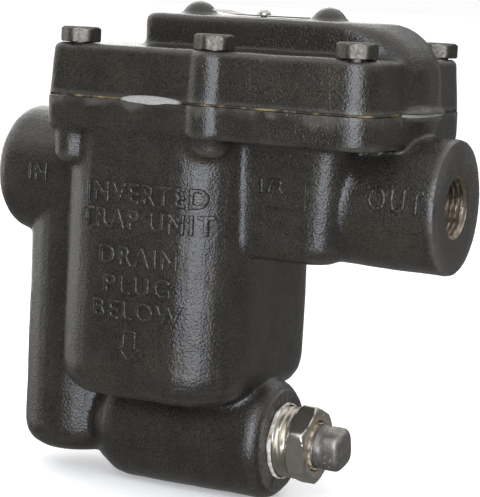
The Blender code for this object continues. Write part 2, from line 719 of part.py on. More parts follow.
def make_inlet_tube():
    low = STRAINER_Z + STRAINER_BORE_R + 0.6 * MM
    tube = pipe("inlet_tube", 7.0 * MM, 5.6 * MM, low, -32 * MM, place=(TANK_X, 0, 0), steps=24)
    return finish(tube, "stainless")


def make_strainer(frame):
    """The screen, the hexagonal bushing that holds it and the seal on the bushing's thread."""
    screen = pipe("strainer_screen", 11.6 * MM, 10.8 * MM, -45.6 * MM, BUSHING_END - GAP, "X", steps=28)
    finish(screen, "stainless", frame)
    bushing = hexagon("strainer_bushing", HEX_FLATS, HEX_START, HEX_END, "X", turn=math.radians(6))
    unite(bushing, rod("thread", BUSHING_R, BUSHING_END, HEX_START + 1 * MM, "X"))
    cut(bushing, rod("plug_hole", PLUG_HOLE_R, BUSHING_END - 1 * MM, HEX_END + 1 * MM, "X", steps=28))
    finish(bushing, "stainless", frame)
    seal = pipe("bushing_seal", 14.1 * MM, BUSHING_R + 0.35 * MM, CHAMBER_FACE + 0.2 * MM,
                CHAMBER_FACE + 1.6 * MM, "X")
    seal.location.z = STRAINER_Z
    finish(seal, "white_seal")


def make_plug(frame):
    """The square-head plug and the tape wound on its thread."""
    half = PLUG_SQUARE / 2
    square = rounded_box(-half, half, half, 3.6 * MM, 3.6 * MM, 4)
    end_square = rounded_box(1.6 * MM - half, half - 1.6 * MM, half - 1.6 * MM, 2.4 * MM, 2.4 * MM, 4)
    head = loft(
        "blowdown_plug",
        [(square, HEX_END + 0.7 * MM), (square, PLUG_HEAD_END - 1.6 * MM), (end_square, PLUG_HEAD_END)],
    )
    head.data.transform(TURNS["X"] @ Matrix.Rotation(math.radians(12), 4, "Z"))
    unite(head, rod("thread", PLUG_R, PLUG_THREAD_END, HEX_END + 2 * MM, "X", steps=28))
    finish(head, "dull_steel", frame)
    tape = pipe("plug_tape", PLUG_HOLE_R - GAP, PLUG_R + GAP, HEX_END - 4.5 * MM, HEX_END + 0.4 * MM,
                "X", steps=28)
    finish(tape, "thread_tape", frame)


def main():
    clear_scene()
    make_body()
    make_cover()
    make_gasket()
    make_cover_bolts()
    make_nameplate()
    make_valve_seat()
    make_guide_bracket()
    make_inlet_tube()
    lever_frame = empty("lever_frame", FULCRUM, -OPEN_ANGLE)
    make_lever(lever_frame)
    hook_x = FULCRUM.x - HOOK_ARM * math.cos(OPEN_ANGLE)
    hook_z = FULCRUM.z - HOOK_ARM * math.sin(OPEN_ANGLE)
    make_bucket(empty("hook_frame", (hook_x, 0, hook_z)))
    strainer_frame = empty("strainer_frame", (0, 0, STRAINER_Z))
    make_strainer(strainer_frame)
    make_plug(strainer_frame)


main()
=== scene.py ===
"""Looks for the inverted bucket steam trap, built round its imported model.

Each operator makes one piece, or one group of like pieces, in metres and in the model's own frame:
X runs along the pipe from the inlet to the outlet, Y runs across the trap and Z is up.
"""

import math
from functools import partial

import bmesh
import bpy
import numpy as np
from bpy.props import (
    FloatProperty, FloatVectorProperty, IntProperty, PointerProperty, StringProperty,
)
from mathutils import Matrix, Vector, noise
from mathutils.bvhtree import BVHTree


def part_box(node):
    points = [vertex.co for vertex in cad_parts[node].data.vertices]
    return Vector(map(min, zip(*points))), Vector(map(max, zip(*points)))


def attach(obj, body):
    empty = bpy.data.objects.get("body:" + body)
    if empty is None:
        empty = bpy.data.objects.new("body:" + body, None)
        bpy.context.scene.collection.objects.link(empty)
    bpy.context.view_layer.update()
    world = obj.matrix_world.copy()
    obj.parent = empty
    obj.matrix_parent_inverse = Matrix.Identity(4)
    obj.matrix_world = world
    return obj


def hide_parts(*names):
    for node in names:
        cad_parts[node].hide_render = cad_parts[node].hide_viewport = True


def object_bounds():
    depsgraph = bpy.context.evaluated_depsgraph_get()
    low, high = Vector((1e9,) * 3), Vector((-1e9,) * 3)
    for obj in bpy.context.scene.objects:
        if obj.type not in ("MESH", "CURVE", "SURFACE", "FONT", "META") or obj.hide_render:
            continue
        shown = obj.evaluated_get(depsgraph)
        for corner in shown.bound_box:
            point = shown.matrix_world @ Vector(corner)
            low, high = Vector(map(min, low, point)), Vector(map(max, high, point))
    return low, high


bl_info = {
    "name": "Steam trap looks",
    "version": (1, 0, 0),
    "blender": (4, 5, 0),
    "location": "3D View > Sidebar > Steam trap",
    "description": "Builds the castings, fittings and finishes of a steam trap",
    "category": "Object",
}

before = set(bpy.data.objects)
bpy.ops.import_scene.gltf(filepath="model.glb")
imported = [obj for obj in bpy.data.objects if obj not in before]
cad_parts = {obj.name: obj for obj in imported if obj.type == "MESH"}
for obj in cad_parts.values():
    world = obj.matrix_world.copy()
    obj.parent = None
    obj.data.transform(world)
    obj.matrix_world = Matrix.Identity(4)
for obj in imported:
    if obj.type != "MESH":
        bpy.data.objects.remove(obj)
CAD_LOW, CAD_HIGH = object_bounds()

MM = 0.001
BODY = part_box("body")
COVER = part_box("cover")
PORT_X = BODY[1].x
JOINT_Z = BODY[1].z
COVER_Z = COVER[0].z
STRAINER_Z = sum(corner.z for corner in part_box("strainer_bushing")) / 2
CHAMBER_FACE = 26.0 * MM
HOUSING = "housing"
# Points closer than this are one point.
WELD = 1e-6
# Where the gasket bulges out at the front, and half the bulge's length.
BULGE_X = -9.2 * MM
BULGE_HALF = 11.6 * MM
# Kinds of node that the finishes and the repeated pieces share.
NOISE = "ShaderNodeTexNoise"
RANGE = "ShaderNodeMapRange"
MIX = "ShaderNodeMix"
BUMP = "ShaderNodeBump"
MATH = "ShaderNodeMath"
VECTOR = "ShaderNodeVectorMath"
COMBINE = "ShaderNodeCombineXYZ"


# ---- meshes


def plain_mesh(name, bm):
    """A mesh with the faces as they are."""
    mesh = bpy.data.meshes.new(name)
    bm.to_mesh(mesh)
    bm.free()
    return mesh


def from_bmesh(name, bm):
    """A mesh whose faces point outwards."""
    bmesh.ops.recalc_face_normals(bm, faces=bm.faces)
    return plain_mesh(name, bm)


def middle_of(node):
    """The middle of a CAD node's box."""
    low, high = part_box(node)
    return (low + high) / 2


def helper(data):
    """An object in the scene that holds this mesh, curve, light or camera."""
    obj = bpy.data.objects.new(data.name, data)
    bpy.context.scene.collection.objects.link(obj)
    return obj


def evaluated(obj):
    """The object's mesh with its modifiers applied. The object is then removed."""
    graph = bpy.context.evaluated_depsgraph_get()
    mesh = bpy.data.meshes.new_from_object(obj.evaluated_get(graph), depsgraph=graph)
    mesh.name = obj.name
    bpy.data.objects.remove(obj)
    return mesh


def modified(mesh, kind, **settings):
    """The mesh after one modifier."""
    obj = helper(mesh)
    modifier = obj.modifiers.new(kind, kind)
    for key, value in settings.items():
        setattr(modifier, key, value)
    return evaluated(obj)


def cut(mesh, tools):
    """The mesh with each tool taken away from it."""
    obj = helper(mesh)
    cutters = [helper(tool) for tool in tools]
    for cutter in cutters:
        modifier = obj.modifiers.new("Cut", "BOOLEAN")
        modifier.operation = "DIFFERENCE"
        modifier.solver = "MANIFOLD"
        modifier.object = cutter
    made = evaluated(obj)
    for cutter in cutters:
        bpy.data.objects.remove(cutter)
    return made


def add_piece(name, mesh, body, finish, stands_for=(), crease=40):
    """A finished piece: smooth faces, sharp creases, its finish and the CAD body it rides on."""
    mesh.shade_smooth()
    mesh.set_sharp_from_angle(angle=math.radians(crease))
    mesh.materials.clear()
    mesh.materials.append(finish)
    obj = helper(mesh)
    obj.name = name
    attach(obj, body)
    if stands_for:
        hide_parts(*stands_for)
    return obj


def skin(name, rings, ends="fans"):
    """A wall through rings of points. Its ends are closed by fans, or joined to each other."""
    bm = bmesh.new()
    loops = [[bm.verts.new(point) for point in ring] for ring in rings]
    count = len(loops[0])
    pairs = list(zip(loops, loops[1:]))
    if ends == "joined":
        pairs.append((loops[-1], loops[0]))
    for one, two in pairs:
        for i in range(count):
            j = (i + 1) % count
            bm.faces.new((one[i], one[j], two[j], two[i]))
    if ends == "fans":
        for loop in (loops[0], loops[-1]):
            middle = bm.verts.new(sum((v.co for v in loop), Vector()) / count)
            for i in range(count):
                bm.faces.new((loop[i], loop[(i + 1) % count], middle))
    return from_bmesh(name, bm)


def turned(name, stations, steps=64, z=0.0, ends="fans"):
    """A piece turned about an axis along X, from (x, radius) stations.

    A radius may be a function of the angle and of x.
    """
    rings = []
    for x, radius in stations:
        ring = []
        for i in range(steps):
            angle = 2 * math.pi * i / steps
            r = radius(angle, x) if callable(radius) else radius
            ring.append((x, r * math.cos(angle), z + r * math.sin(angle)))
        rings.append(ring)
    return skin(name, rings, ends)


def drum(r, low, high, axis, place=(0, 0, 0), steps=64):
    """A plain round cutter along an axis."""
    mesh = turned("drum", [(low, r), (high, r)], steps)
    turn = {"X": Matrix.Identity(4), "Z": Matrix.Rotation(-math.pi / 2, 4, "Y")}[axis]
    mesh.transform(Matrix.Translation(place) @ turn)
    return mesh


def slab(axis, low, high):
    """A cutter wider than the trap, from low to high along one axis."""
    size = Vector((0.4, 0.4, 0.4))
    place = Vector((0, 0, 0))
    size[axis] = high - low
    place[axis] = (low + high) / 2
    bm = bmesh.new()
    matrix = Matrix.Translation(place) @ Matrix.Diagonal((*size, 1))
    bmesh.ops.create_cube(bm, size=1.0, matrix=matrix)
    return from_bmesh("slab", bm)


def merged_copy(node):
    """A CAD node's mesh with its loose triangles joined."""
    bm = bmesh.new()
    bm.from_mesh(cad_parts[node].data)
    bmesh.ops.remove_doubles(bm, verts=bm.verts, dist=WELD)
    return bm


def thread(radius, pitch, depth, taper=0.0):
    """Radius of a screw thread: crests at this radius, and a groove of this depth between them."""

    def at(angle, x):
        phase = (x / pitch - angle / (2 * math.pi)) % 1.0
        groove = min(max(1.25 * (1 - abs(2 * phase - 1)) - 0.12, 0.0), 1.0)
        return radius + taper * x - depth * groove

    return at


def hexagonal(flats, turn=0.0, corner=0.94):
    """Radius of a hexagon across flats, with its corners slightly blunted."""

    def at(angle, x):
        part = (angle + turn) % (math.pi / 3) - math.pi / 6
        return min(flats / 2 / math.cos(part), flats / math.sqrt(3) * corner)

    return at


def limited(shape, most):
    """The lesser of a shape's radius and a cone's or a circle's."""
    return lambda angle, x: min(shape(angle, x), most)


def steps_between(low, high, step):
    """Even steps from low to high, each about this long."""
    count = max(2, round(abs(high - low) / step))
    return [low + (high - low) * i / count for i in range(count + 1)]


# ---- finishes


def linear(code):
    """An sRGB hex colour as linear light."""
    channels = [int(code[i : i + 2], 16) / 255 for i in (0, 2, 4)]
    return tuple(c / 12.92 if c <= 0.04045 else ((c + 0.055) / 1.055) ** 2.4 for c in channels)


def connect(tree, node, inputs):
    """Sets or links a node's inputs, by socket name or number.

    A node stands for its first output in use, and a hex colour for its linear light.
    """
    for key, value in inputs.items():
        if isinstance(value, str):
            value = (*linear(value), 1.0)
        if isinstance(value, bpy.types.Node):
            value = next(socket for socket in value.outputs if socket.enabled)
        if isinstance(value, bpy.types.NodeSocket):
            tree.links.new(value, node.inputs[key])
        else:
            node.inputs[key].default_value = value


def add_node(tree, kind, inputs=None, **settings):
    """A node with its settings, and its inputs set or linked."""
    node = tree.nodes.new(kind)
    for key, value in settings.items():
        setattr(node, key, value)
    connect(tree, node, inputs or {})
    return node


def new_finish(name, **constants):
    """A material whose shader holds these constants. Returns it, its tree and its shader."""
    material = bpy.data.materials.new(name)
    material.use_nodes = True
    tree = material.node_tree
    shader = tree.nodes["Principled BSDF"]
    connect(tree, shader, {key.replace("_", " "): value for key, value in constants.items()})
    return material, tree, shader


def patches(tree, place, size, limits, under, over, detail=4.0, roughness=0.6, most=1.0, w=0.0):
    """A colour in patches of this size over another. Returns the patches' share and the colour.

    The patches start and are full at these limits of the noise. Another w gives other patches.
    """
    cloud = add_node(
        tree, NOISE,
        {"Vector": place, "Scale": 1 / size, "Detail": detail, "Roughness": roughness},
        noise_dimensions="4D" if w else "3D",
    )
    if w:
        connect(tree, cloud, {"W": w})
    share = add_node(
        tree, RANGE, {"Value": cloud, "From Min": limits[0], "From Max": limits[1], "To Max": most},
    )
    return share, add_node(tree, MIX, {0: share, 6: under, 7: over}, data_type="RGBA")


def relief(tree, place, size, depth, roughness=0.5, **under):
    """Bumps of this size and depth, which may stand on coarser ones given as Normal."""
    rough = add_node(
        tree, NOISE, {"Vector": place, "Scale": 1 / size, "Detail": 2.0, "Roughness": roughness},
    )
    return add_node(tree, BUMP, {"Height": rough, "Distance": depth, "Strength": 1.0, **under})


def cast_enamel():
    """Black semi-gloss enamel on sand-cast iron.

    The sand's grain prints through the thin coat as fine bumps, so its highlights break into
    specks. The coat is thin and brownish in patches and dusty on outer edges, and its inner
    corners are darkened with painted shade.
    """
    settings = bpy.context.scene.trap_casting
    material, tree, shader = new_finish(
        "black_enamel_on_sand_cast_iron",
        IOR=1.5, Specular_IOR_Level=0.03, Coat_Weight=1.0, Coat_Roughness=0.06,
    )
    place = add_node(tree, "ShaderNodeTexCoord").outputs["Object"]
    full, thin = (*settings.paint, 1.0), (*settings.thin_paint, 1.0)
    mottle = patches(tree, place, 16 * MM, (0.42, 0.68), full, thin, 7.0, 0.78)[1]
    # Grains stand out lighter where dust has caught on them, and pits stay black.
    flecks = patches(tree, place, 0.5 * MM, (0.32, 0.72), "949494", "ffffff", 2.0, 0.7)[1]
    flecked = add_node(
        tree, MIX, {0: 1.0, 6: mottle, 7: flecks}, data_type="RGBA", blend_type="MULTIPLY",
    )
    edge = add_node(tree, "ShaderNodeAttribute", attribute_name="edge").outputs["Fac"]
    scuffs = add_node(
        tree, NOISE, {"Vector": place, "Scale": 1 / (3 * MM), "Detail": 3.0, "Roughness": 0.7},
    )
    worn_edge = add_node(
        tree, RANGE, {"Value": edge, "From Min": 0.15, "From Max": 0.9, "To Max": 0.75},
    )
    worn = add_node(tree, MATH, {0: worn_edge, 1: scuffs}, operation="MULTIPLY")
    scuffed = add_node(tree, MIX, {0: worn, 6: flecked, 7: "5c5954"}, data_type="RGBA")
    # Painted shade: inner corners, where the edge value is below 0, are darkened towards near
    # black.
    corner = add_node(
        tree, RANGE, {"Value": edge, "From Min": -0.1, "From Max": -0.6, "To Max": 0.6},
    )
    corner_shaded = add_node(tree, MIX, {0: corner, 6: scuffed, 7: "1c1a18"}, data_type="RGBA")
    gloss = add_node(
        tree, RANGE,
        {"Value": scuffs, "From Min": 0.3, "From Max": 0.7, "To Min": 0.42, "To Max": 0.58},
    )
    lumps = relief(tree, place, 3.4 * MM, 0.11 * MM)
    # Foundry sand is finer than this. It is drawn as coarse as it needs to show.
    grain = relief(tree, place, settings.grain, settings.grain_depth, 0.6, Normal=lumps)
    connect(tree, shader, {"Base Color": corner_shaded, "Roughness": gloss})
    connect(tree, shader, {"Normal": grain, "Coat Normal": grain})
    return material


def metal(name, clean, dull, patch, smooth, rough, depth, stain=None):
    """A bare metal finish: two tones in patches, a matching gloss and a fine relief.

    stain is a colour that gathers in a third, sparser set of patches.
    """
    material, tree, shader = new_finish(name, Metallic=1.0)
    place = add_node(tree, "ShaderNodeTexCoord").outputs["Object"]
    share, colour = patches(tree, place, patch, (0.38, 0.66), clean, dull)
    gloss = add_node(tree, RANGE, {"Value": share, "To Min": smooth, "To Max": rough})
    if stain:
        spots, colour = patches(
            tree, place, patch * 0.7, (0.56, 0.66), colour, stain, 5.0, 0.7, 0.85, 4.0,
        )
        bare = add_node(tree, RANGE, {"Value": spots, "To Min": 1.0, "To Max": 0.1})
        connect(tree, shader, {"Metallic": bare})
    grit = relief(tree, place, 0.9 * MM, depth, 0.6)
    connect(tree, shader, {"Base Color": colour, "Roughness": gloss, "Normal": grit})
    return material


def fibre(name, light, dark, patch, depth, stain=None):
    """A matt, fibrous or pasty material in two tones, with stains."""
    material, tree, shader = new_finish(name, Roughness=0.75, Specular_IOR_Level=0.3)
    place = add_node(tree, "ShaderNodeTexCoord").outputs["Object"]
    colour = patches(tree, place, patch, (0.4, 0.62), light, dark, 4.0, 0.65)[1]
    if stain:
        colour = patches(
            tree, place, patch * 1.6, (0.56, 0.66), colour, stain, 3.0, 0.5, w=2.0,
        )[1]
    fibres = relief(tree, place, 0.6 * MM, depth)
    connect(tree, shader, {"Base Color": colour, "Normal": fibres})
    return material


def enamel():
    """The castings' one shared enamel."""
    return bpy.data.materials.get("black_enamel_on_sand_cast_iron") or cast_enamel()


def pressed_stainless():
    """Pressed and drawn stainless sheet: bright, with soft cloudy patches from the press tool."""
    name = "pressed_stainless_steel"
    return bpy.data.materials.get(name) or metal(
        name, "b3ada2", "948e84", 6 * MM, 0.26, 0.40, 0.01 * MM
    )


# ---- castings


def points_of(mesh):
    """The mesh's points as rows of numbers."""
    flat = np.empty(len(mesh.vertices) * 3)
    mesh.vertices.foreach_get("co", flat)
    return flat.reshape(-1, 3)


def normals_of(mesh, points):
    """The mesh's normals once its points are moved to these places."""
    mesh.vertices.foreach_set("co", points.ravel())
    mesh.update()
    flat = np.empty(len(mesh.vertices) * 3)
    mesh.vertex_normals.foreach_get("vector", flat)
    return flat.reshape(-1, 3)


def neighbours(mesh):
    """The ends of each edge, and a function for a value's mean over each point's neighbours."""
    flat = np.empty(len(mesh.edges) * 2, np.int64)
    mesh.edges.foreach_get("vertices", flat)
    one, two = flat.reshape(-1, 2).T
    count = len(mesh.vertices)
    share = np.bincount(np.concatenate([one, two]), minlength=count).clip(1)

    def mean(values):
        if values.ndim > 1:
            return np.stack([mean(column) for column in values.T], 1)
        total = np.bincount(one, values[two], count) + np.bincount(two, values[one], count)
        return total / share

    return one, two, share, mean


def rounded(mesh, polish, fillet):
    """Works over a remeshed casting as a pattern maker does.

    A few even passes take the steps off it, then many passes that only add metal fill the sharp
    inner corners with fillets.
    """
    points = points_of(mesh)
    one, two, _, mean = neighbours(mesh)
    for _ in range(polish):
        points += 0.50 * (mean(points) - points)
        points -= 0.52 * (mean(points) - points)
    normals = normals_of(mesh, points)
    along = ((mean(points) - points) * normals).sum(1)
    inner = (along > 0.06 * MM).astype(float)
    for _ in range(7):
        grown = inner.copy()
        np.maximum.at(grown, one, inner[two])
        np.maximum.at(grown, two, inner[one])
        inner = grown
    for _ in range(4):
        inner = mean(inner)
    for turn in range(fillet):
        if turn % 4 == 0:
            normals = normals_of(mesh, points)
        along = ((mean(points) - points) * normals).sum(1)
        points += (0.8 * inner * along.clip(0))[:, None] * normals
    for _ in range(3):
        points += 0.4 * (mean(points) - points)
    normals_of(mesh, points)
    return mesh


def rippled(mesh, depth, length, seed):
    """Slow waves in the surface, as a sand mould leaves them, kept inside the CAD box."""
    points = points_of(mesh)
    normals = normals_of(mesh, points)
    offset = Vector((seed, 2 * seed, 3 * seed))
    waves = np.array([noise.noise(Vector(p) / length + offset) for p in points])
    waves += 0.4 * np.array([noise.noise(Vector(p) / (0.35 * length) - offset) for p in points])
    points += (depth * waves)[:, None] * normals
    margin = 0.02 * MM
    points = points.clip(np.array(CAD_LOW) + margin, np.array(CAD_HIGH) - margin)
    normals_of(mesh, points)
    return mesh


def mark_edges(mesh):
    """Keeps how sharply each point's surface turns, above 0 on outer edges, for wear on outer edges
    and painted shade in inner corners.
    """
    points = points_of(mesh)
    normals = normals_of(mesh, points)
    one, two, share, mean = neighbours(mesh)
    along = points[two] - points[one]
    bend = ((normals[two] - normals[one]) * along).sum(1) / (along**2).sum(1).clip(1e-10)
    value = (np.bincount(one, bend, len(points)) + np.bincount(two, bend, len(points))) / share
    for _ in range(2):
        value = 0.5 * value + 0.5 * mean(value)
    kept = mesh.attributes.new("edge", "FLOAT", "POINT")
    kept.data.foreach_set("value", np.clip(value * 2.5 * MM, -1, 1).astype(np.float32))


def cast(node, flats, cutters, fillet, seed):
    """A casting's outside from its CAD node: remeshed, filleted, rippled, then machined again.

    flats are (axis, place, side) machined faces. Each is carried outwards before the remesh, and
    cut back to its place at the end, so that it stays flat and its rim stays crisp.
    """
    settings = bpy.context.scene.trap_casting
    spare = 3 * MM
    bm = merged_copy(node)
    for vert in bm.verts:
        for axis, place, side in flats:
            if abs(vert.co[axis] - place) < 0.02 * MM:
                vert.co[axis] += side * spare
    mesh = from_bmesh(node + "_casting", bm)
    mesh = modified(mesh, "REMESH", mode="VOXEL", voxel_size=settings.voxel, adaptivity=0.0)
    mesh = rounded(mesh, settings.polish, fillet)
    mesh = rippled(mesh, settings.ripple, settings.ripple_length, seed)
    mesh = modified(mesh, "DECIMATE", ratio=min(1.0, 88000 / len(mesh.polygons)))
    for axis, place, side in flats:
        far = place + side * 4 * spare
        if abs(place) < BODY[1].x / 2 and axis == 0:
            cutters.append(drum(25 * MM, min(place, far), max(place, far), "X", (0, 0, STRAINER_Z)))
        else:
            cutters.append(slab(axis, min(place, far), max(place, far)))
    mesh = modified(cut(mesh, cutters), "TRIANGULATE")
    mark_edges(mesh)
    return mesh


def build_castings():
    """The body and the cover."""
    screws = [middle_of(f"cover_bolt_{number}").to_2d() for number in range(1, 7)]
    body_cutters = [
        drum(10.9 * MM, PORT_X - 19.5 * MM, PORT_X + 4 * MM, "X"),
        drum(10.9 * MM, -PORT_X - 4 * MM, 19.5 * MM - PORT_X, "X"),
        drum(13.0 * MM, -38 * MM, CHAMBER_FACE + 4 * MM, "X", (0, 0, STRAINER_Z)),
    ]
    body_cutters += [drum(4.0 * MM, 21.6 * MM, 40 * MM, "Z", (x, y, 0), 24) for x, y in screws]
    body = cast(
        "body",
        [(2, JOINT_Z, 1), (0, PORT_X, 1), (0, -PORT_X, -1), (0, CHAMBER_FACE, 1)],
        body_cutters, bpy.context.scene.trap_casting.fillet, 1.7,
    )
    add_piece("body_casting", body, HOUSING, enamel(), ["body"])
    cover_cutters = [drum(4.3 * MM, 20 * MM, 60 * MM, "Z", (x, y, 0), 24) for x, y in screws]
    cover = cast("cover", [(2, COVER_Z, -1)], cover_cutters, 5, 5.3)
    add_piece("cover_casting", cover, HOUSING, enamel(), ["cover"])


# ---- raised lettering


def text_mesh(words, height, relief, bold):
    """Raised words on the XY plane, centred, with their faces up."""
    curve = bpy.data.curves.new("words", "FONT")
    curve.body = words
    curve.size = height / 0.70
    curve.align_x = "CENTER"
    curve.align_y = "CENTER"
    curve.offset = bold
    curve.space_character = 1.2
    curve.extrude = relief
    curve.bevel_depth = 0.22 * MM
    curve.bevel_resolution = 1
    curve.resolution_u = 3
    return evaluated(helper(curve))


def wrapped(mesh, surface, x, z, squeeze, relief):
    """Lays flat words on the front of a casting, standing up out of it along Y."""
    bm = bmesh.new()
    bm.from_mesh(mesh)
    bmesh.ops.remove_doubles(bm, verts=bm.verts, dist=WELD)
    for vert in bm.verts:
        flat = Vector((x + vert.co.x * squeeze, -0.1, z + vert.co.y))
        hit = surface.ray_cast(flat, Vector((0, 1, 0)))[0]
        if hit is None:
            hit = surface.find_nearest(flat)[0]
        # The back of each letter goes into the casting, and its face stands proud.
        out = relief if vert.co.z > 0 else -0.5 * MM
        vert.co = Vector((flat.x, hit.y - out - 0.6 * vert.co.z, flat.z))
    return bm


def build_lettering():
    """Raised cast words and a hollow arrow on the front of the trap."""
    settings = bpy.context.scene.trap_lettering
    body = bpy.data.objects["body_casting"].data
    points = [vert.co for vert in body.vertices]
    surface = BVHTree.FromPolygons(points, [face.vertices for face in body.polygons])
    lines = [
        (settings.line_1, -11.0, -1.6, 6.6, 0.92),
        (settings.line_2, -10.8, -10.6, 6.6, 0.90),
        (settings.line_3, -12.2, -23.2, 6.4, 0.98),
        (settings.line_4, -12.2, -33.2, 6.4, 1.06),
        (settings.line_5, -12.2, -42.0, 6.4, 0.98),
        (settings.outlet_word, 72.2, 2.6, 7.6, 0.80),
        (settings.inlet_word, -66.0, 0.6, 6.0, 0.86),
        (settings.size_mark, 29.5, 4.2, 4.6, 1.0),
    ]
    marks = [
        (text_mesh(words, height * MM, 0.35 * MM, 0.15 * MM), x, z, squeeze, settings.relief)
        for words, x, z, height, squeeze in lines
    ]
    for bars, x, z in ((arrow_bars(), -14.4, -53.4), (frame_bars(), 28.0, 3.6)):
        marks += [(bar, x, z, 1.0, settings.relief * 0.75) for bar in bars]
    joined = bmesh.new()
    for flat, x, z, squeeze, proud in marks:
        part = plain_mesh("part", wrapped(flat, surface, x * MM, z * MM, squeeze, proud))
        joined.from_mesh(part)
        bpy.data.meshes.remove(part)
    mesh = from_bmesh("raised_lettering", joined)
    # The letters were moulded in sand, so their edges are soft and uneven.
    mesh = modified(mesh, "REMESH", mode="VOXEL", voxel_size=0.34 * MM)
    points = points_of(mesh)
    mean = neighbours(mesh)[-1]
    for _ in range(3):
        points += 0.5 * (mean(points) - points)
    normals = normals_of(mesh, points)
    rough = np.array([noise.noise(Vector(p) / (1.3 * MM)) for p in points])
    normals_of(mesh, points + (0.14 * MM * rough)[:, None] * normals)
    add_piece("raised_lettering", mesh, HOUSING, enamel(), crease=60)


def bar(start, end, width, height=0.35 * MM):
    """A straight raised bar on the XY plane, in short lengths so that it can follow a curve."""
    start, end = Vector(start) * MM, Vector(end) * MM
    along = (end - start).normalized()
    side = Vector((-along.y, along.x)) * width * MM / 2
    count = max(2, round((end - start).length / (2 * MM)))
    rings = []
    for i in range(count + 1):
        middle = start.lerp(end, i / count)
        ring = []
        for across, up in ((-1, -1), (1, -1), (1, 0.5), (0.6, 1), (-0.6, 1), (-1, 0.5)):
            point = middle + side * across
            ring.append((point.x, point.y, up * height))
        rings.append(ring)
    return skin("bar", rings)


def arrow_bars():
    """A hollow arrow that points down."""
    shaft = [(-2.2, 4.6), (2.2, 4.6), (2.2, -1.2)]
    path = shaft + [(4.0, -1.2), (0, -5.6), (-4.0, -1.2), (-2.2, -1.2)]
    return [bar(a, b, 1.0) for a, b in zip(path, path[1:] + path[:1])]


def frame_bars():
    """Two sides of a faint raised frame."""
    path = [(14.6, 3.4), (14.6, -6.6), (0, -6.6)]
    return [bar(a, b, 0.7) for a, b in zip(path, path[1:])]


# ---- ports and joint


def port_sleeve(name, sign):
    """The threaded lining of a pipe port: a chamfer, then a taper pipe thread."""
    settings = bpy.context.scene.trap_ports
    face = PORT_X - 0.15 * MM
    deep = face - 19.0 * MM
    out = 10.86 * MM
    crest = settings.bore / 2
    depth = 0.8 * settings.pitch * 0.8
    mean = thread(crest + depth, settings.pitch, depth)

    def inside(angle, x):
        return mean(angle, x) - (face - abs(x)) / 32

    stations = [(deep, out), (face, out)]
    mouth = 1.3 * MM
    for x in steps_between(face, deep, settings.pitch / 7):
        flare = max(0.0, out - 0.12 * MM - (face - x))
        radius = inside if face - x > mouth else (
            lambda angle, at, flare=flare: max(inside(angle, at), flare)
        )
        stations.append((x, radius))
    mesh = turned(name, stations, 72, ends="joined")
    if sign < 0:
        mesh.transform(Matrix.Rotation(math.pi, 4, "Z"))
    return mesh


def build_port_threads():
    """The two threaded pipe ports."""
    # Cut steel-grey threads that have rusted brown, with crests rubbed lighter.
    finish = metal(
        "machined_iron_thread_rusted", "a59a8a", "786c5d", 2.4 * MM, 0.36, 0.50, 0.03 * MM,
        "57493b",
    )
    for name, sign in (("outlet_thread", 1), ("inlet_thread", -1)):
        add_piece(name, port_sleeve(name, sign), HOUSING, finish, crease=50)


def arc(centre, r, start, end, count):
    """Points on a circle, from one angle to another, in degrees."""
    angles = [math.radians(start + (end - start) * i / count) for i in range(count + 1)]
    return [Vector((centre[0] + r * math.cos(a), centre[1] + r * math.sin(a))) for a in angles]


def flange_outline(inset):
    """The bolting flange: a box with round corners, and a lobe at the middle screw of each side."""
    middle = middle_of("cover_bolt_2").to_2d()
    r = 9.2 * MM - inset
    side = 44.0 * MM - inset
    turn = math.degrees(math.asin((side + middle[1]) / r))
    left, right, front_y = -50.7 * MM, 71.0 * MM, -44.0 * MM
    near, far = 3.8 * MM, 10.5 * MM
    front = (
        arc((left + near, front_y + near), near - inset, 180, 270, 12)
        + arc(middle, r, 180 + turn, 360 - turn, 12)
        + arc((right - far, front_y + far), far - inset, 270, 360, 12)
    )
    return front + [Vector((p.x, -p.y)) for p in reversed(front)]


def resampled(outline, step):
    """The same closed outline with points at even steps."""
    points = []
    for start, end in zip(outline, outline[1:] + outline[:1]):
        count = max(1, round((end - start).length / step))
        points += [start.lerp(end, i / count) for i in range(count)]
    return points


def gasket_finish():
    """Compressed fibre sheet, pale grey and speckled where it bulges out.

    The rest of its edge is black with enamel and stained ochre by rust.
    """
    material, tree, shader = new_finish(
        "compressed_fibre_gasket", Roughness=0.75, Specular_IOR_Level=0.3,
    )
    place = add_node(tree, "ShaderNodeTexCoord").outputs["Object"]
    speckle = add_node(
        tree, NOISE, {"Vector": place, "Scale": 1 / (0.9 * MM), "Detail": 3.0, "Roughness": 0.7},
    )
    pale = add_node(tree, MIX, {0: speckle, 6: "55534f", 7: "a9a8a4"}, data_type="RGBA")
    dark = patches(tree, place, 7 * MM, (0.50, 0.64), "2a2622", "75654a", 4.0, 0.7)[1]
    bulge = add_node(tree, "ShaderNodeAttribute", attribute_name="bulge").outputs["Fac"]
    tone = add_node(tree, MIX, {0: bulge, 6: dark, 7: pale}, data_type="RGBA")
    bump = add_node(tree, BUMP, {"Height": speckle, "Distance": 0.15 * MM, "Strength": 1.0})
    connect(tree, shader, {"Base Color": tone, "Normal": bump})
    return material


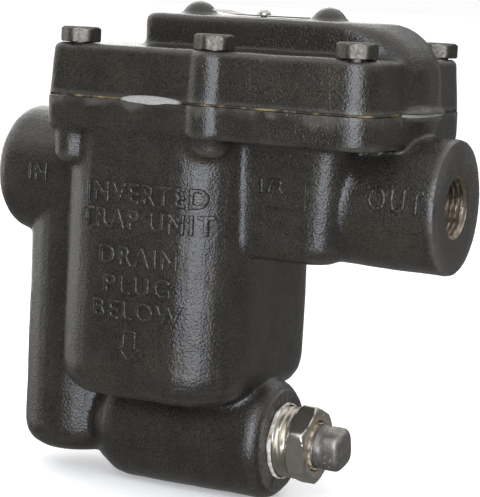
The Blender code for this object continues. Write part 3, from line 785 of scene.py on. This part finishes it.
def build_joint():
    """The sheet gasket's squeezed-out edge between the two castings."""
    outline = resampled(flange_outline(0.55 * MM), 1.0 * MM)
    middle = (JOINT_Z + COVER_Z) / 2
    rings = []
    count = len(outline)
    for i, point in enumerate(outline):
        ahead = outline[(i + 1) % count] - outline[i - 1]
        out = Vector((ahead.y, -ahead.x)).normalized()
        ripple = noise.noise(Vector((point.x, point.y, 0)) / (6 * MM))
        half_z, proud = 0.42 * MM, (0.30 + 0.25 * ripple) * MM
        if point.y < 0:
            lens = 1 - ((point.x - BULGE_X) / BULGE_HALF) ** 2
            if lens > 0:
                half_z += 1.35 * MM * lens**0.75
                proud += 0.42 * MM * lens**0.3
        ring = []
        for k in range(10):
            angle = 2 * math.pi * k / 10
            shift = out * (proud * math.cos(angle))
            ring.append((point.x + shift.x, point.y + shift.y, middle + half_z * math.sin(angle)))
        rings.append(ring)
    mesh = skin("gasket_edge", rings, "joined")
    bulge = mesh.attributes.new("bulge", "FLOAT", "POINT")
    for vert, kept in zip(mesh.vertices, bulge.data):
        lens = 1 - ((vert.co.x - BULGE_X) / BULGE_HALF) ** 2
        kept.value = min(1.0, max(0.0, 6 * lens)) if vert.co.y < 0 else 0.0
    finish = gasket_finish()
    add_piece("gasket_edge", mesh, HOUSING, finish, crease=60)
    # Under the outlet passage the sheet hangs out past the flange as a pale lip.
    rings = []
    for step in range(41):
        angle = math.radians(-90 + 180 * step / 40)
        across = 20.3 * MM * math.sin(angle)
        x = 76.6 * MM - 17 * MM * (1 - abs(math.cos(angle)) ** 0.62)
        reach = max(0.12, math.cos(angle)) ** 0.5
        sag = 0.5 * MM * math.sin(3 * angle + 0.6)
        ring = []
        for k in range(8):
            turn = 2 * math.pi * k / 8
            ring.append((x - 2.0 * MM + 2.2 * MM * math.cos(turn), across,
                         middle - 0.2 * MM + sag * 0.4 + 0.75 * MM * reach * math.sin(turn)))
        rings.append(ring)
    lip = skin("gasket_lip", rings)
    bulge = lip.attributes.new("bulge", "FLOAT", "POINT")
    for kept in bulge.data:
        kept.value = 1.0
    add_piece("gasket_lip", lip, HOUSING, finish, crease=60)


# ---- repeated pieces


def node_tree(name, values):
    """A Geometry Nodes tree with a named input for each value. Returns it and its inputs."""
    tree = bpy.data.node_groups.new(name, "GeometryNodeTree")
    for label, value in values.items():
        kind = {float: "Float", int: "Int"}.get(type(value)) or value.bl_rna.identifier
        tree.interface.new_socket(label, in_out="INPUT", socket_type="NodeSocket" + kind)
    tree.interface.new_socket("Geometry", in_out="OUTPUT", socket_type="NodeSocketGeometry")
    return tree, add_node(tree, "NodeGroupInput").outputs


def finish_tree(tree, instances, material):
    """Ends a tree in real faces that carry the finish."""
    real = add_node(tree, "GeometryNodeRealizeInstances", {0: instances})
    painted = add_node(tree, "GeometryNodeSetMaterial", {"Geometry": real, "Material": material})
    add_node(tree, "NodeGroupOutput", {0: painted})


def grown(name, tree, values):
    """The plain mesh that a tree makes from these input values."""
    obj = helper(bpy.data.meshes.new(name))
    modifier = obj.modifiers.new(name, "NODES")
    modifier.node_group = tree
    for item in tree.interface.items_tree:
        if item.in_out == "INPUT":
            modifier[item.identifier] = values[item.name]
    obj.update_tag()
    return evaluated(obj)


def screw_mesh():
    """One cover screw, standing on the XY plane: washer face, chamfered hexagon and shank."""
    settings = bpy.context.scene.trap_screws
    flats, high = settings.flats, settings.head
    shape = hexagonal(flats, math.pi / 6)
    stations = [(-24.8 * MM, 2.9 * MM), (-24.2 * MM, 3.6 * MM), (-0.01 * MM, 3.7 * MM)]
    stations += [(0.0, flats * 0.50), (0.2 * MM, limited(shape, flats * 0.53)), (0.6 * MM, shape)]
    stations.append((high - 1.5 * MM, shape))
    for i in range(1, 7):
        rise = i / 6
        most = flats * (0.575 - 0.105 * rise**1.6)
        stations.append((high - 1.5 * MM * (1 - rise), limited(shape, most)))
    stations.append((high - 0.05 * MM, flats * 0.42))
    mesh = turned("cover_screw", stations, 72)
    mesh.transform(Matrix.Rotation(-math.pi / 2, 4, "Y"))
    return mesh


def build_cover_bolts():
    """The six hexagon head screws that hold the cover down."""
    settings = bpy.context.scene.trap_screws
    # Plated steel heads, dull olive-grey, with enamel mist from when the trap was sprayed.
    finish = metal(
        "zinc_plated_steel_dulled", "6f6b64", "57544d", 1.2 * MM, 0.44, 0.54, 0.05 * MM, "3a3631",
    )
    screw = helper(screw_mesh())
    values = {
        "Screw": screw, "Pitch": settings.pitch, "Row spacing": -2 * middle_of("cover_bolt_1").y,
        "Middle": middle_of("cover_bolt_2").x, "Seat height": COVER_Z + 17.55 * MM,
        "Turn": settings.turn, "Scatter": settings.scatter, "Seed": settings.seed, "Finish": finish,
    }
    tree, given = node_tree("Cover screws", values)
    width = add_node(tree, MATH, {0: given["Pitch"], 1: 2.0}, operation="MULTIPLY")
    grid = add_node(
        tree, "GeometryNodeMeshGrid",
        {"Size X": width, "Size Y": given["Row spacing"], "Vertices X": 3, "Vertices Y": 2},
    )
    shift = add_node(tree, COMBINE, {"X": given["Middle"], "Z": given["Seat height"]})
    placed = add_node(tree, "GeometryNodeTransform", {"Geometry": grid, "Translation": shift})
    less = add_node(tree, MATH, {0: given["Scatter"], 1: -1.0}, operation="MULTIPLY")
    chance = add_node(
        tree, "FunctionNodeRandomValue", {2: less, 3: given["Scatter"], "Seed": given["Seed"]},
        data_type="FLOAT",
    )
    angle = add_node(tree, MATH, {0: given["Turn"], 1: chance}, operation="ADD")
    spin = add_node(tree, COMBINE, {"Z": angle})
    source = add_node(tree, "GeometryNodeObjectInfo", {"Object": given["Screw"]})
    screws = add_node(
        tree, "GeometryNodeInstanceOnPoints",
        {"Points": placed, "Instance": source.outputs["Geometry"], "Rotation": spin},
    )
    finish_tree(tree, screws, given["Finish"])
    mesh = grown("cover_screws", tree, values)
    bpy.data.objects.remove(screw)
    nodes = [f"cover_bolt_{number}" for number in range(1, 7)]
    add_piece("cover_screws", mesh, HOUSING, finish, nodes, 30)


def perforated_cell():
    """A square of sheet with a round hole, of unit size, facing up."""
    bm = bmesh.new()
    rings = []
    for radius in (None, 0.30):
        ring = []
        for i in range(12):
            angle = 2 * math.pi * (i + 0.5) / 12
            c, s = math.cos(angle), math.sin(angle)
            r = 0.5 / max(abs(c), abs(s)) if radius is None else radius
            ring.append(bm.verts.new((r * c, r * s, 0)))
        rings.append(ring)
    for i in range(12):
        j = (i + 1) % 12
        bm.faces.new((rings[0][i], rings[0][j], rings[1][j], rings[1][i]))
    return plain_mesh("perforated_cell", bm)


def build_screen():
    """The perforated strainer screen."""
    settings = bpy.context.scene.trap_screen
    low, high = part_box("strainer_screen")
    radius = (high.z - low.z) / 2 - 0.4 * MM
    around = round(2 * math.pi * radius / settings.hole_pitch)
    along = round((high.x - low.x) / settings.hole_pitch)
    cell = helper(perforated_cell())
    values = {
        "Cell": cell, "Radius": radius, "Start": low.x + 0.2 * MM,
        "Length": high.x - low.x - 0.4 * MM, "Height": STRAINER_Z, "Holes around": around,
        "Holes along": along, "Finish": pressed_stainless(),
    }
    tree, given = node_tree("Perforated screen", values)
    around_it, along_it, wall = given["Holes around"], given["Holes along"], given["Radius"]
    count = add_node(tree, MATH, {0: around_it, 1: along_it}, operation="MULTIPLY")
    points = add_node(tree, "GeometryNodePoints", {"Count": count})
    index = add_node(tree, "GeometryNodeInputIndex")
    turns = add_node(tree, MATH, {0: index, 1: around_it}, operation="DIVIDE")
    row = add_node(tree, MATH, {0: turns}, operation="FLOOR")
    step = add_node(tree, MATH, {0: 2 * math.pi, 1: around_it}, operation="DIVIDE")
    angle = add_node(tree, MATH, {0: index, 1: step}, operation="MULTIPLY")
    gap = add_node(tree, MATH, {0: given["Length"], 1: along_it}, operation="DIVIDE")
    middle = add_node(tree, MATH, {0: row, 1: 0.5}, operation="ADD")
    x = add_node(tree, MATH, {0: middle, 1: gap, 2: given["Start"]}, operation="MULTIPLY_ADD")
    sine = add_node(tree, MATH, {0: angle}, operation="SINE")
    cosine = add_node(tree, MATH, {0: angle}, operation="COSINE")
    y = add_node(tree, MATH, {0: sine, 1: wall}, operation="MULTIPLY")
    z = add_node(tree, MATH, {0: cosine, 1: wall, 2: given["Height"]}, operation="MULTIPLY_ADD")
    place = add_node(tree, COMBINE, {"X": x, "Y": y, "Z": z})
    wound = add_node(tree, "GeometryNodeSetPosition", {"Geometry": points, "Position": place})
    back = add_node(tree, MATH, {0: angle, 1: -1.0}, operation="MULTIPLY")
    lean = add_node(tree, COMBINE, {"X": back})
    chord = add_node(tree, MATH, {0: step, 1: wall}, operation="MULTIPLY")
    size = add_node(tree, COMBINE, {"X": gap, "Y": chord, "Z": 1.0})
    source = add_node(tree, "GeometryNodeObjectInfo", {"Object": given["Cell"]})
    cells = add_node(
        tree, "GeometryNodeInstanceOnPoints",
        {"Points": wound, "Instance": source.outputs["Geometry"], "Rotation": lean, "Scale": size},
    )
    finish_tree(tree, cells, given["Finish"])
    mesh = grown("strainer_screen_sheet", tree, values)
    bpy.data.objects.remove(cell)
    bm = bmesh.new()
    bm.from_mesh(mesh)
    bmesh.ops.remove_doubles(bm, verts=bm.verts, dist=0.05 * MM)
    bm.to_mesh(mesh)
    bm.free()
    mesh = modified(mesh, "SOLIDIFY", thickness=0.5 * MM, offset=0.0)
    add_piece("strainer_screen_sheet", mesh, "screen", values["Finish"], ["strainer_screen"])


# ---- blow-down fittings


def stained_stainless():
    """Turned stainless bar: bright and smooth, with brown water stains round the plug."""
    material, tree, shader = new_finish("turned_stainless_water_stained", Metallic=1.0)
    place = add_node(tree, "ShaderNodeTexCoord").outputs["Object"]
    centre = (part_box("strainer_bushing")[1].x, 0, STRAINER_Z)
    centred = add_node(tree, VECTOR, {0: place, 1: centre}, operation="SUBTRACT")
    apart = add_node(tree, VECTOR, {0: centred}, operation="LENGTH")
    wander = add_node(
        tree, NOISE, {"Vector": place, "Scale": 1 / (4 * MM), "Detail": 5.0, "Roughness": 0.7},
    )
    reach = add_node(tree, MATH, {0: wander, 1: -9 * MM, 2: apart}, operation="MULTIPLY_ADD")
    stain = add_node(
        tree, RANGE, {"Value": reach, "From Min": 7.2 * MM, "From Max": 3.8 * MM, "To Max": 0.8},
    )
    cloud = add_node(
        tree, NOISE, {"Vector": place, "Scale": 1 / (5 * MM), "Detail": 4.0, "Roughness": 0.6},
    )
    tone = add_node(tree, MIX, {0: cloud, 6: "dbd5c9", 7: "b5afa3"}, data_type="RGBA")
    colour = add_node(tree, MIX, {0: stain, 6: tone, 7: "6b5236"}, data_type="RGBA")
    bare = add_node(tree, RANGE, {"Value": stain, "To Min": 1.0, "To Max": 0.35})
    gloss = add_node(tree, RANGE, {"Value": stain, "To Min": 0.34, "To Max": 0.6})
    # Fine rings that the turning tool leaves, coarser than real ones so that they show.
    rings = add_node(tree, MATH, {0: apart, 1: 2 * math.pi / (0.5 * MM)}, operation="MULTIPLY")
    waves = add_node(tree, MATH, {0: rings}, operation="SINE")
    bump = add_node(tree, BUMP, {"Height": waves, "Distance": 0.006 * MM, "Strength": 1.0})
    connect(
        tree, shader, {"Base Color": colour, "Metallic": bare, "Roughness": gloss, "Normal": bump},
    )
    return material


def bushing_mesh():
    """The hexagon bushing: outside thread, neck, chamfered hexagon and tapped hole."""
    settings = bpy.context.scene.trap_fittings
    low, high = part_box("strainer_bushing")
    flats = settings.hex_flats
    shape = hexagonal(flats, math.radians(24), 0.985)
    hex_start = high.x - 7.0 * MM
    crest = thread(12.7 * MM, 2.209 * MM, 1.15 * MM)
    hole = 8.8 * MM
    start = low.x + 0.1 * MM
    stations = [(start, hole), (start, 11.3 * MM)]
    turns = steps_between(start + 0.4 * MM, hex_start - 0.5 * MM, 0.3 * MM)
    stations += [(x, crest) for x in turns]
    stations += [(hex_start - 0.1 * MM, 11.4 * MM), (hex_start, flats * 0.46)]
    for i in range(5):
        rise = i / 4
        most = flats * (0.50 + 0.075 * rise**0.7)
        stations.append((hex_start + 1.3 * MM * rise, limited(shape, most)))
    for i in range(5):
        rise = 1 - i / 4
        most = flats * (0.485 + 0.09 * rise**0.7)
        stations.append((high.x - 1.5 * MM * rise, limited(shape, most)))
    inset = high.x - 0.25 * MM
    stations += [(high.x, flats * 0.465), (inset, flats * 0.40), (inset, hole + 0.5 * MM)]
    stations.append((high.x - 1.0 * MM, hole))
    return turned("blowdown_bushing", stations, 120, STRAINER_Z, "joined")


def plug_mesh():
    """The plug: a rough square head with round corners on a taper thread."""
    low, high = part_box("blowdown_plug")
    half = 7.0 * MM
    head_low = 40.75 * MM
    turn = math.radians(12)
    edge = 3.0 * MM

    def square(angle, x):
        a = angle - turn
        r = half / (abs(math.cos(a)) ** 3.4 + abs(math.sin(a)) ** 3.4) ** (1 / 3.4)
        lump = noise.noise(Vector((math.cos(angle), math.sin(angle), x / (5 * MM))) * 1.6)
        return r + 0.16 * MM * lump

    crest = thread(7.6 * MM, 1.411 * MM, 0.9 * MM)
    stations = [(low.x + 0.05 * MM, 5.6 * MM), (low.x + 0.6 * MM, 6.6 * MM)]
    turns = steps_between(low.x + 0.8 * MM, head_low - 0.3 * MM, 0.24 * MM)
    stations += [(x, crest) for x in turns]
    collar = 7.75 * MM
    stations += [(head_low, 7.2 * MM), (head_low + 0.5 * MM, collar), (head_low + 2.2 * MM, collar)]
    stations.append((head_low + 3.0 * MM, lambda a, x: min(square(a, x), 7.7 * MM)))
    stations += [(x, square) for x in steps_between(head_low + 3.6 * MM, high.x - edge, 0.9 * MM)]
    for i in range(1, 8):
        angle = math.pi / 2 * i / 8
        inset = 1 - (1 - math.cos(angle)) * 0.42
        x = high.x - edge * 0.75 * (1 - math.sin(angle)) - 0.1 * MM
        stations.append((x, lambda a, at, inset=inset: square(a, at) * inset))
    stations.append((high.x - 0.05 * MM, lambda a, x: square(a, x) * 0.45))
    return turned("square_head_plug", stations, 96, STRAINER_Z)


def ragged_ring(name, low, high, inner, outer, ripple, seed):
    """A soft ring pressed unevenly by its fittings."""

    def edge(base, share):
        def at(angle, x):
            wave = noise.noise(Vector((math.cos(angle), math.sin(angle), seed)) * 2.1)
            fine = noise.noise(Vector((math.cos(angle), math.sin(angle), seed + x / MM)) * 6.0)
            return base + share * (wave + 0.4 * fine)

        return at

    shoulder, crown = edge(outer - ripple, ripple), edge(outer - 0.6 * ripple, ripple)
    stations = [(low, inner), (low, shoulder), ((low + high) / 2, crown), (high, shoulder)]
    stations.append((high, inner))
    return turned(name, stations, 90, STRAINER_Z, "joined")


def build_blowdown():
    """The strainer's bushing, its seal, the square-head plug and the plug's tape."""
    add_piece("blowdown_bushing", bushing_mesh(), "bushing", stained_stainless(),
              ["strainer_bushing"], 32)
    # Cast steel, sand-blasted and lightly tarnished: even grey with a soft sheen.
    plug = metal(
        "cast_steel_blasted", "a09d98", "8a8680", 2 * MM, 0.50, 0.60, 0.06 * MM, "7c7264",
    )
    add_piece("square_head_plug", plug_mesh(), "plug", plug, ["blowdown_plug"], 38)
    # Soft sealing fibre, off-white, with one or two rust marks.
    seal = fibre("white_sealing_fibre", "c9c6be", "979289", 3 * MM, 0.10 * MM, "7d6243")
    low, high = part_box("bushing_seal")
    ring = ragged_ring("seal_ring", low.x, high.x, 13.05 * MM, 14.0 * MM, 0.6 * MM, 3.0)
    add_piece("seal_ring", ring, HOUSING, seal, ["bushing_seal"])
    # Thread tape, once white, soaked and stained tan.
    tape = fibre("ptfe_thread_tape_stained", "b5ab97", "6f5c43", 2 * MM, 0.05 * MM, "4c3a28")
    low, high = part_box("plug_tape")
    wound = ragged_ring("plug_tape_wound", low.x, high.x, 7.9 * MM, 8.5 * MM, 0.12 * MM, 7.0)
    add_piece("plug_tape_wound", wound, "tape", tape, ["plug_tape"])


# ---- nameplate and valve gear


def build_nameplate():
    """The blank tag on top of the cover, and the screw that holds it."""
    low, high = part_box("nameplate")
    head_low, head_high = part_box("nameplate_screw")
    screw_x = (head_low.x + head_high.x) / 2
    half_y = high.y
    corner = 2.0 * MM
    rings = []
    for x in steps_between(low.x, high.x, 0.7 * MM):
        near = min(x - low.x, high.x - x)
        inset = corner - math.sqrt(max(0.0, corner**2 - max(0.0, corner - near) ** 2))
        lift = 1.3 * MM * max(0.0, (7 * MM - (x - low.x)) / (7 * MM)) ** 1.6
        wave = 0.05 * MM * math.sin((x - low.x) / (5 * MM))
        z = low.z + 0.03 * MM + lift + max(0.0, wave)
        across = steps_between(inset - half_y, half_y - inset, 2 * half_y / 12)
        top = [(x, y, z + 0.45 * MM) for y in across]
        under = [(x, y, z) for y in reversed(across)]
        rings.append(top + under)
    tag = skin("blank_tag", rings)
    tag = cut(tag, [drum(1.45 * MM, 40 * MM, 70 * MM, "Z", (screw_x, 0, 0), 24)])
    # Thin aluminium sheet with a matt etched face.
    finish = metal(
        "etched_aluminium_tag", "b9b5a8", "98948a", 4 * MM, 0.34, 0.5, 0.02 * MM, "76715f",
    )
    add_piece("blank_tag", tag, HOUSING, finish, ["nameplate"])
    head_r = (head_high.x - head_low.x) / 2
    top = low.z + 0.62 * MM
    tip, shank = head_low.z, 1.0 * MM
    stations = [(tip + 0.1 * MM, 0.7 * MM), (tip + 0.5 * MM, shank), (top, shank)]
    for i in range(10):
        angle = math.pi / 2 * i / 10
        stations.append((top + 0.05 * MM + (head_high.z - top - 0.07 * MM) * math.sin(angle),
                         head_r * math.cos(angle) * 0.99))
    screw = turned("drive_screw", stations, 40)
    turn = Matrix.Rotation(-math.pi / 2, 4, "Y")
    screw.transform(Matrix.Translation((screw_x, 0, 0)) @ turn)
    bright = metal("bright_plated_steel", "cfcdc6", "a5a29a", 2 * MM, 0.16, 0.30, 0.01 * MM)
    add_piece("drive_screw", screw, HOUSING, bright, ["nameplate_screw"])


def build_valve_gear():
    """Finishes for the pieces inside, whose CAD shapes are kept."""
    turned_steel = metal(
        "turned_stainless_seat", "c2bcb0", "9d978c", 3 * MM, 0.18, 0.32, 0.006 * MM,
    )
    drawn = metal("deep_drawn_stainless_bucket", "aaa499", "87827a", 12 * MM, 0.30, 0.42, 0.03 * MM)
    sheet = pressed_stainless()
    gasket = fibre("gasket_sheet_inside", "74716a", "57544e", 5 * MM, 0.06 * MM)
    finishes = {
        "valve_seat": turned_steel, "valve_disc": turned_steel, "fulcrum_pin": turned_steel,
        "valve_retainer": turned_steel, "bracket_screw_1": turned_steel,
        "bracket_screw_2": turned_steel, "bucket": drawn, "inlet_tube": drawn,
        "valve_lever": sheet, "guide_bracket": sheet, "bucket_hook": sheet, "hook_retainer": sheet,
        "cover_gasket": gasket,
    }
    for node, finish in finishes.items():
        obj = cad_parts[node]
        for place in obj.material_slots:
            place.material = finish


# ---- stage


def soft_light(name, azimuth, height, distance, size, power, colour, aim):
    """A soft box, seen from the trap at this azimuth from the front. It aims at the trap."""
    light = bpy.data.lights.new(name, "AREA")
    light.shape = "RECTANGLE"
    light.size, light.size_y = size
    light.energy = power
    light.color = colour
    obj = helper(light)
    a = math.radians(azimuth)
    obj.location = (distance * math.sin(a), -distance * math.cos(a), height)
    obj.rotation_euler = (aim - obj.location).to_track_quat("-Z", "Y").to_euler()
    obj.visible_camera = False


def build_stage():
    """Floor, lights and camera."""
    settings = bpy.context.scene.trap_stage
    floor_z = CAD_LOW.z - 0.3 * MM
    bm = bmesh.new()
    bmesh.ops.create_circle(bm, cap_ends=True, segments=96, radius=60.0)
    bmesh.ops.translate(bm, verts=bm.verts, vec=(0, 0, floor_z))
    floor = helper(from_bmesh("floor", bm))
    paper = new_finish(
        "matt_white_paper", Base_Color=(*settings.floor, 1.0), Roughness=0.9,
        Specular_IOR_Level=0.1, Emission_Color="ffffff", Emission_Strength=0.30,
    )[0]
    floor.data.materials.append(paper)
    floor.visible_glossy = False

    world = bpy.data.worlds.new("studio")
    bpy.context.scene.world = world
    world.use_nodes = True
    tree = world.node_tree
    # The backdrop is seen as white, and lights the trap less than it shows.
    seen = add_node(tree, "ShaderNodeLightPath").outputs["Is Camera Ray"]
    strength = add_node(tree, RANGE, {"Value": seen, "To Min": settings.ambient, "To Max": 1.0})
    connect(tree, tree.nodes["Background"], {"Color": "fcfcfc", "Strength": strength})

    aim = Vector((0.0, 0.0, -0.02))
    key = settings.key
    soft_light("front_box", 27, 0.10, 0.74, (0.60, 0.90), key, (0.86, 0.91, 1.0), aim)
    soft_light("left_box", -86, 0.20, 1.0, (0.85, 1.1), key * 0.4, (1.0, 1.0, 1.0), aim)
    soft_light("back_box", 218, 0.3, 1.4, (1.0, 1.2), key * 0.5, (1.0, 0.99, 0.97), aim)
    sun = bpy.data.lights.new("sky", "SUN")
    sun.energy = settings.overhead
    sun.angle = math.radians(120)
    helper(sun).rotation_euler = (math.radians(-8), 0, 0)

    angles = (settings.azimuth, settings.pitch, settings.roll)
    azimuth, pitch, roll = (math.radians(angle) for angle in angles)
    forward = Vector((-math.sin(azimuth) * math.cos(pitch), math.cos(azimuth) * math.cos(pitch),
                      -math.sin(pitch)))
    level = Vector((math.cos(azimuth), math.sin(azimuth), 0))
    up = level.cross(forward)
    right = math.cos(roll) * level + math.sin(roll) * up
    top = math.cos(roll) * up - math.sin(roll) * level
    eye = Vector(settings.target) - forward * settings.distance
    data = bpy.data.cameras.new("camera")
    data.sensor_width = 36.0
    data.lens = settings.lens
    camera = helper(data)
    turn = Matrix((right, top, -forward)).transposed().to_4x4()
    camera.matrix_world = Matrix.Translation(eye) @ turn
    bpy.context.scene.camera = camera
    bpy.context.scene.view_settings.view_transform = "Standard"


# ---- settings

length = partial(FloatProperty, unit="LENGTH")


class CastingSettings(bpy.types.PropertyGroup):
    paint: FloatVectorProperty(
        name="Enamel", description="Colour of the enamel", subtype="COLOR",
        default=linear("2d2a26"), min=0.0, max=1.0,
    )
    thin_paint: FloatVectorProperty(
        name="Thin enamel", description="Its colour where the coat is thin", subtype="COLOR",
        default=linear("3b362e"), min=0.0, max=1.0,
    )
    grain: length(name="Grain", description="Size of the sand's grain", default=0.78 * MM)
    grain_depth: length(
        name="Grain depth", description="Depth of the grain in the paint", default=0.26 * MM,
    )
    voxel: length(name="Fineness", description="Size of the castings' facets", default=0.85 * MM)
    polish: IntProperty(name="Edge rounding", description="Even smoothing passes", default=3)
    fillet: IntProperty(name="Fillet", description="Passes that fill inner corners", default=14)
    ripple: length(
        name="Ripple", description="Depth of the slow waves in the surface", default=0.22 * MM,
    )
    ripple_length: length(
        name="Ripple length", description="Length of the slow waves", default=16 * MM,
    )


class LetteringSettings(bpy.types.PropertyGroup):
    line_1: StringProperty(name="First line", description="Type of trap", default="INVERTED")
    line_2: StringProperty(name="Second line", description="Type of trap", default="TRAP UNIT")
    line_3: StringProperty(name="Third line", description="Mounting words", default="DRAIN")
    line_4: StringProperty(name="Fourth line", description="Mounting words", default="PLUG")
    line_5: StringProperty(name="Fifth line", description="Mounting words", default="BELOW")
    outlet_word: StringProperty(name="Outlet", description="Word on the outlet boss", default="OUT")
    inlet_word: StringProperty(name="Inlet", description="Word on the inlet boss", default="IN")
    size_mark: StringProperty(name="Size", description="Pipe size in inches", default="1/2")
    relief: length(name="Relief", description="Height of the letters", default=0.50 * MM)


class PortSettings(bpy.types.PropertyGroup):
    bore: length(name="Bore", description="Diameter inside the thread's crests", default=18.9 * MM)
    pitch: length(name="Pitch", description="Distance between crests", default=1.814 * MM)


class ScrewSettings(bpy.types.PropertyGroup):
    flats: length(name="Across flats", description="Width of the hexagon", default=12.6 * MM)
    head: length(name="Head height", description="Height of the head", default=5.2 * MM)
    pitch: length(name="Pitch", description="Distance between screws in a row", default=51.65 * MM)
    turn: FloatProperty(
        name="Turn", description="Angle of each hexagon", default=math.radians(26), subtype="ANGLE",
    )
    scatter: FloatProperty(
        name="Scatter", description="How far the angles vary", default=math.radians(5),
        subtype="ANGLE",
    )
    seed: IntProperty(name="Seed", description="Seed of the varied angles", default=4)


class ScreenSettings(bpy.types.PropertyGroup):
    hole_pitch: length(name="Hole pitch", description="Distance between holes", default=2.4 * MM)


class FittingSettings(bpy.types.PropertyGroup):
    hex_flats: length(
        name="Bushing hexagon", description="Width across its flats", default=25.2 * MM,
    )


class StageSettings(bpy.types.PropertyGroup):
    floor: FloatVectorProperty(
        name="Floor", description="Colour of the floor", subtype="COLOR", default=linear("f7f7f7"),
        min=0.0, max=1.0,
    )
    ambient: FloatProperty(name="Ambient", description="Strength of the even light", default=0.18)
    overhead: FloatProperty(name="Overhead", description="Strength of the top light", default=2.3)
    key: FloatProperty(name="Key", description="Power of the front box", default=9.0, unit="POWER")
    azimuth: FloatProperty(name="Azimuth", description="Camera angle round the trap", default=26.38)
    pitch: FloatProperty(name="Pitch", description="How far the camera looks down", default=7.65)
    roll: FloatProperty(name="Roll", description="How far the camera leans", default=2.82)
    distance: length(
        name="Distance", description="From the camera to its target", default=656.19 * MM,
    )
    target: FloatVectorProperty(
        name="Target", description="Point at the middle of the view", subtype="TRANSLATION",
        default=(5.3 * MM, 0.0, -21.99 * MM),
    )
    lens: FloatProperty(name="Lens", description="Focal length on a 36 mm sensor", default=133.49)


SETTINGS = {
    "trap_casting": CastingSettings,
    "trap_lettering": LetteringSettings,
    "trap_ports": PortSettings,
    "trap_screws": ScrewSettings,
    "trap_screen": ScreenSettings,
    "trap_fittings": FittingSettings,
    "trap_stage": StageSettings,
}


# ---- operators and panel


class TRAP_OT_castings(bpy.types.Operator):
    """Build the body and cover castings"""

    bl_idname = "trap.castings"
    bl_label = "Castings"

    def execute(self, context):
        build_castings()
        return {"FINISHED"}


class TRAP_OT_lettering(bpy.types.Operator):
    """Raise the cast words and the arrow on the body"""

    bl_idname = "trap.lettering"
    bl_label = "Raised lettering"

    def execute(self, context):
        build_lettering()
        return {"FINISHED"}


class TRAP_OT_port_threads(bpy.types.Operator):
    """Build the threads in the two pipe ports"""

    bl_idname = "trap.port_threads"
    bl_label = "Port threads"

    def execute(self, context):
        build_port_threads()
        return {"FINISHED"}


class TRAP_OT_joint(bpy.types.Operator):
    """Build the gasket's edge between body and cover"""

    bl_idname = "trap.joint"
    bl_label = "Gasket edge"

    def execute(self, context):
        build_joint()
        return {"FINISHED"}


class TRAP_OT_cover_bolts(bpy.types.Operator):
    """Build the six cover screws"""

    bl_idname = "trap.cover_bolts"
    bl_label = "Cover screws"

    def execute(self, context):
        build_cover_bolts()
        return {"FINISHED"}


class TRAP_OT_nameplate(bpy.types.Operator):
    """Build the blank tag and its screw"""

    bl_idname = "trap.nameplate"
    bl_label = "Tag"

    def execute(self, context):
        build_nameplate()
        return {"FINISHED"}


class TRAP_OT_screen(bpy.types.Operator):
    """Build the perforated strainer screen"""

    bl_idname = "trap.screen"
    bl_label = "Strainer screen"

    def execute(self, context):
        build_screen()
        return {"FINISHED"}


class TRAP_OT_blowdown(bpy.types.Operator):
    """Build the bushing, its seal, the plug and its tape"""

    bl_idname = "trap.blowdown"
    bl_label = "Blow-down fittings"

    def execute(self, context):
        build_blowdown()
        return {"FINISHED"}


class TRAP_OT_valve_gear(bpy.types.Operator):
    """Give the pieces inside their finishes"""

    bl_idname = "trap.valve_gear"
    bl_label = "Valve gear"

    def execute(self, context):
        build_valve_gear()
        return {"FINISHED"}


class TRAP_OT_stage(bpy.types.Operator):
    """Build the floor, lights and camera"""

    bl_idname = "trap.stage"
    bl_label = "Stage"

    def execute(self, context):
        build_stage()
        return {"FINISHED"}


OPERATORS = (
    TRAP_OT_castings,
    TRAP_OT_lettering,
    TRAP_OT_port_threads,
    TRAP_OT_joint,
    TRAP_OT_cover_bolts,
    TRAP_OT_nameplate,
    TRAP_OT_screen,
    TRAP_OT_blowdown,
    TRAP_OT_valve_gear,
    TRAP_OT_stage,
)


class TRAP_PT_pieces(bpy.types.Panel):
    """Lists the trap's pieces and their settings"""

    bl_idname = "TRAP_PT_pieces"
    bl_label = "Steam trap"
    bl_space_type = "VIEW_3D"
    bl_region_type = "UI"
    bl_category = "Steam trap"

    def draw(self, context):
        for name, group in SETTINGS.items():
            box = self.layout.box()
            for key in group.__annotations__:
                box.prop(getattr(context.scene, name), key)
        for operator in OPERATORS:
            self.layout.operator(operator.bl_idname)


def register():
    for group in SETTINGS.values():
        bpy.utils.register_class(group)
    for operator in OPERATORS:
        bpy.utils.register_class(operator)
    bpy.utils.register_class(TRAP_PT_pieces)
    for name, group in SETTINGS.items():
        setattr(bpy.types.Scene, name, PointerProperty(type=group))


def unregister():
    for name in SETTINGS:
        delattr(bpy.types.Scene, name)
    bpy.utils.unregister_class(TRAP_PT_pieces)
    for operator in reversed(OPERATORS):
        bpy.utils.unregister_class(operator)
    for group in reversed(SETTINGS.values()):
        bpy.utils.unregister_class(group)


def main():
    """Builds every piece in order."""
    register()
    bpy.ops.trap.castings()
    bpy.ops.trap.lettering()
    bpy.ops.trap.port_threads()
    bpy.ops.trap.joint()
    bpy.ops.trap.cover_bolts()
    bpy.ops.trap.nameplate()
    bpy.ops.trap.screen()
    bpy.ops.trap.blowdown()
    bpy.ops.trap.valve_gear()
    bpy.ops.trap.stage()


if __name__ == "__main__":
    main()
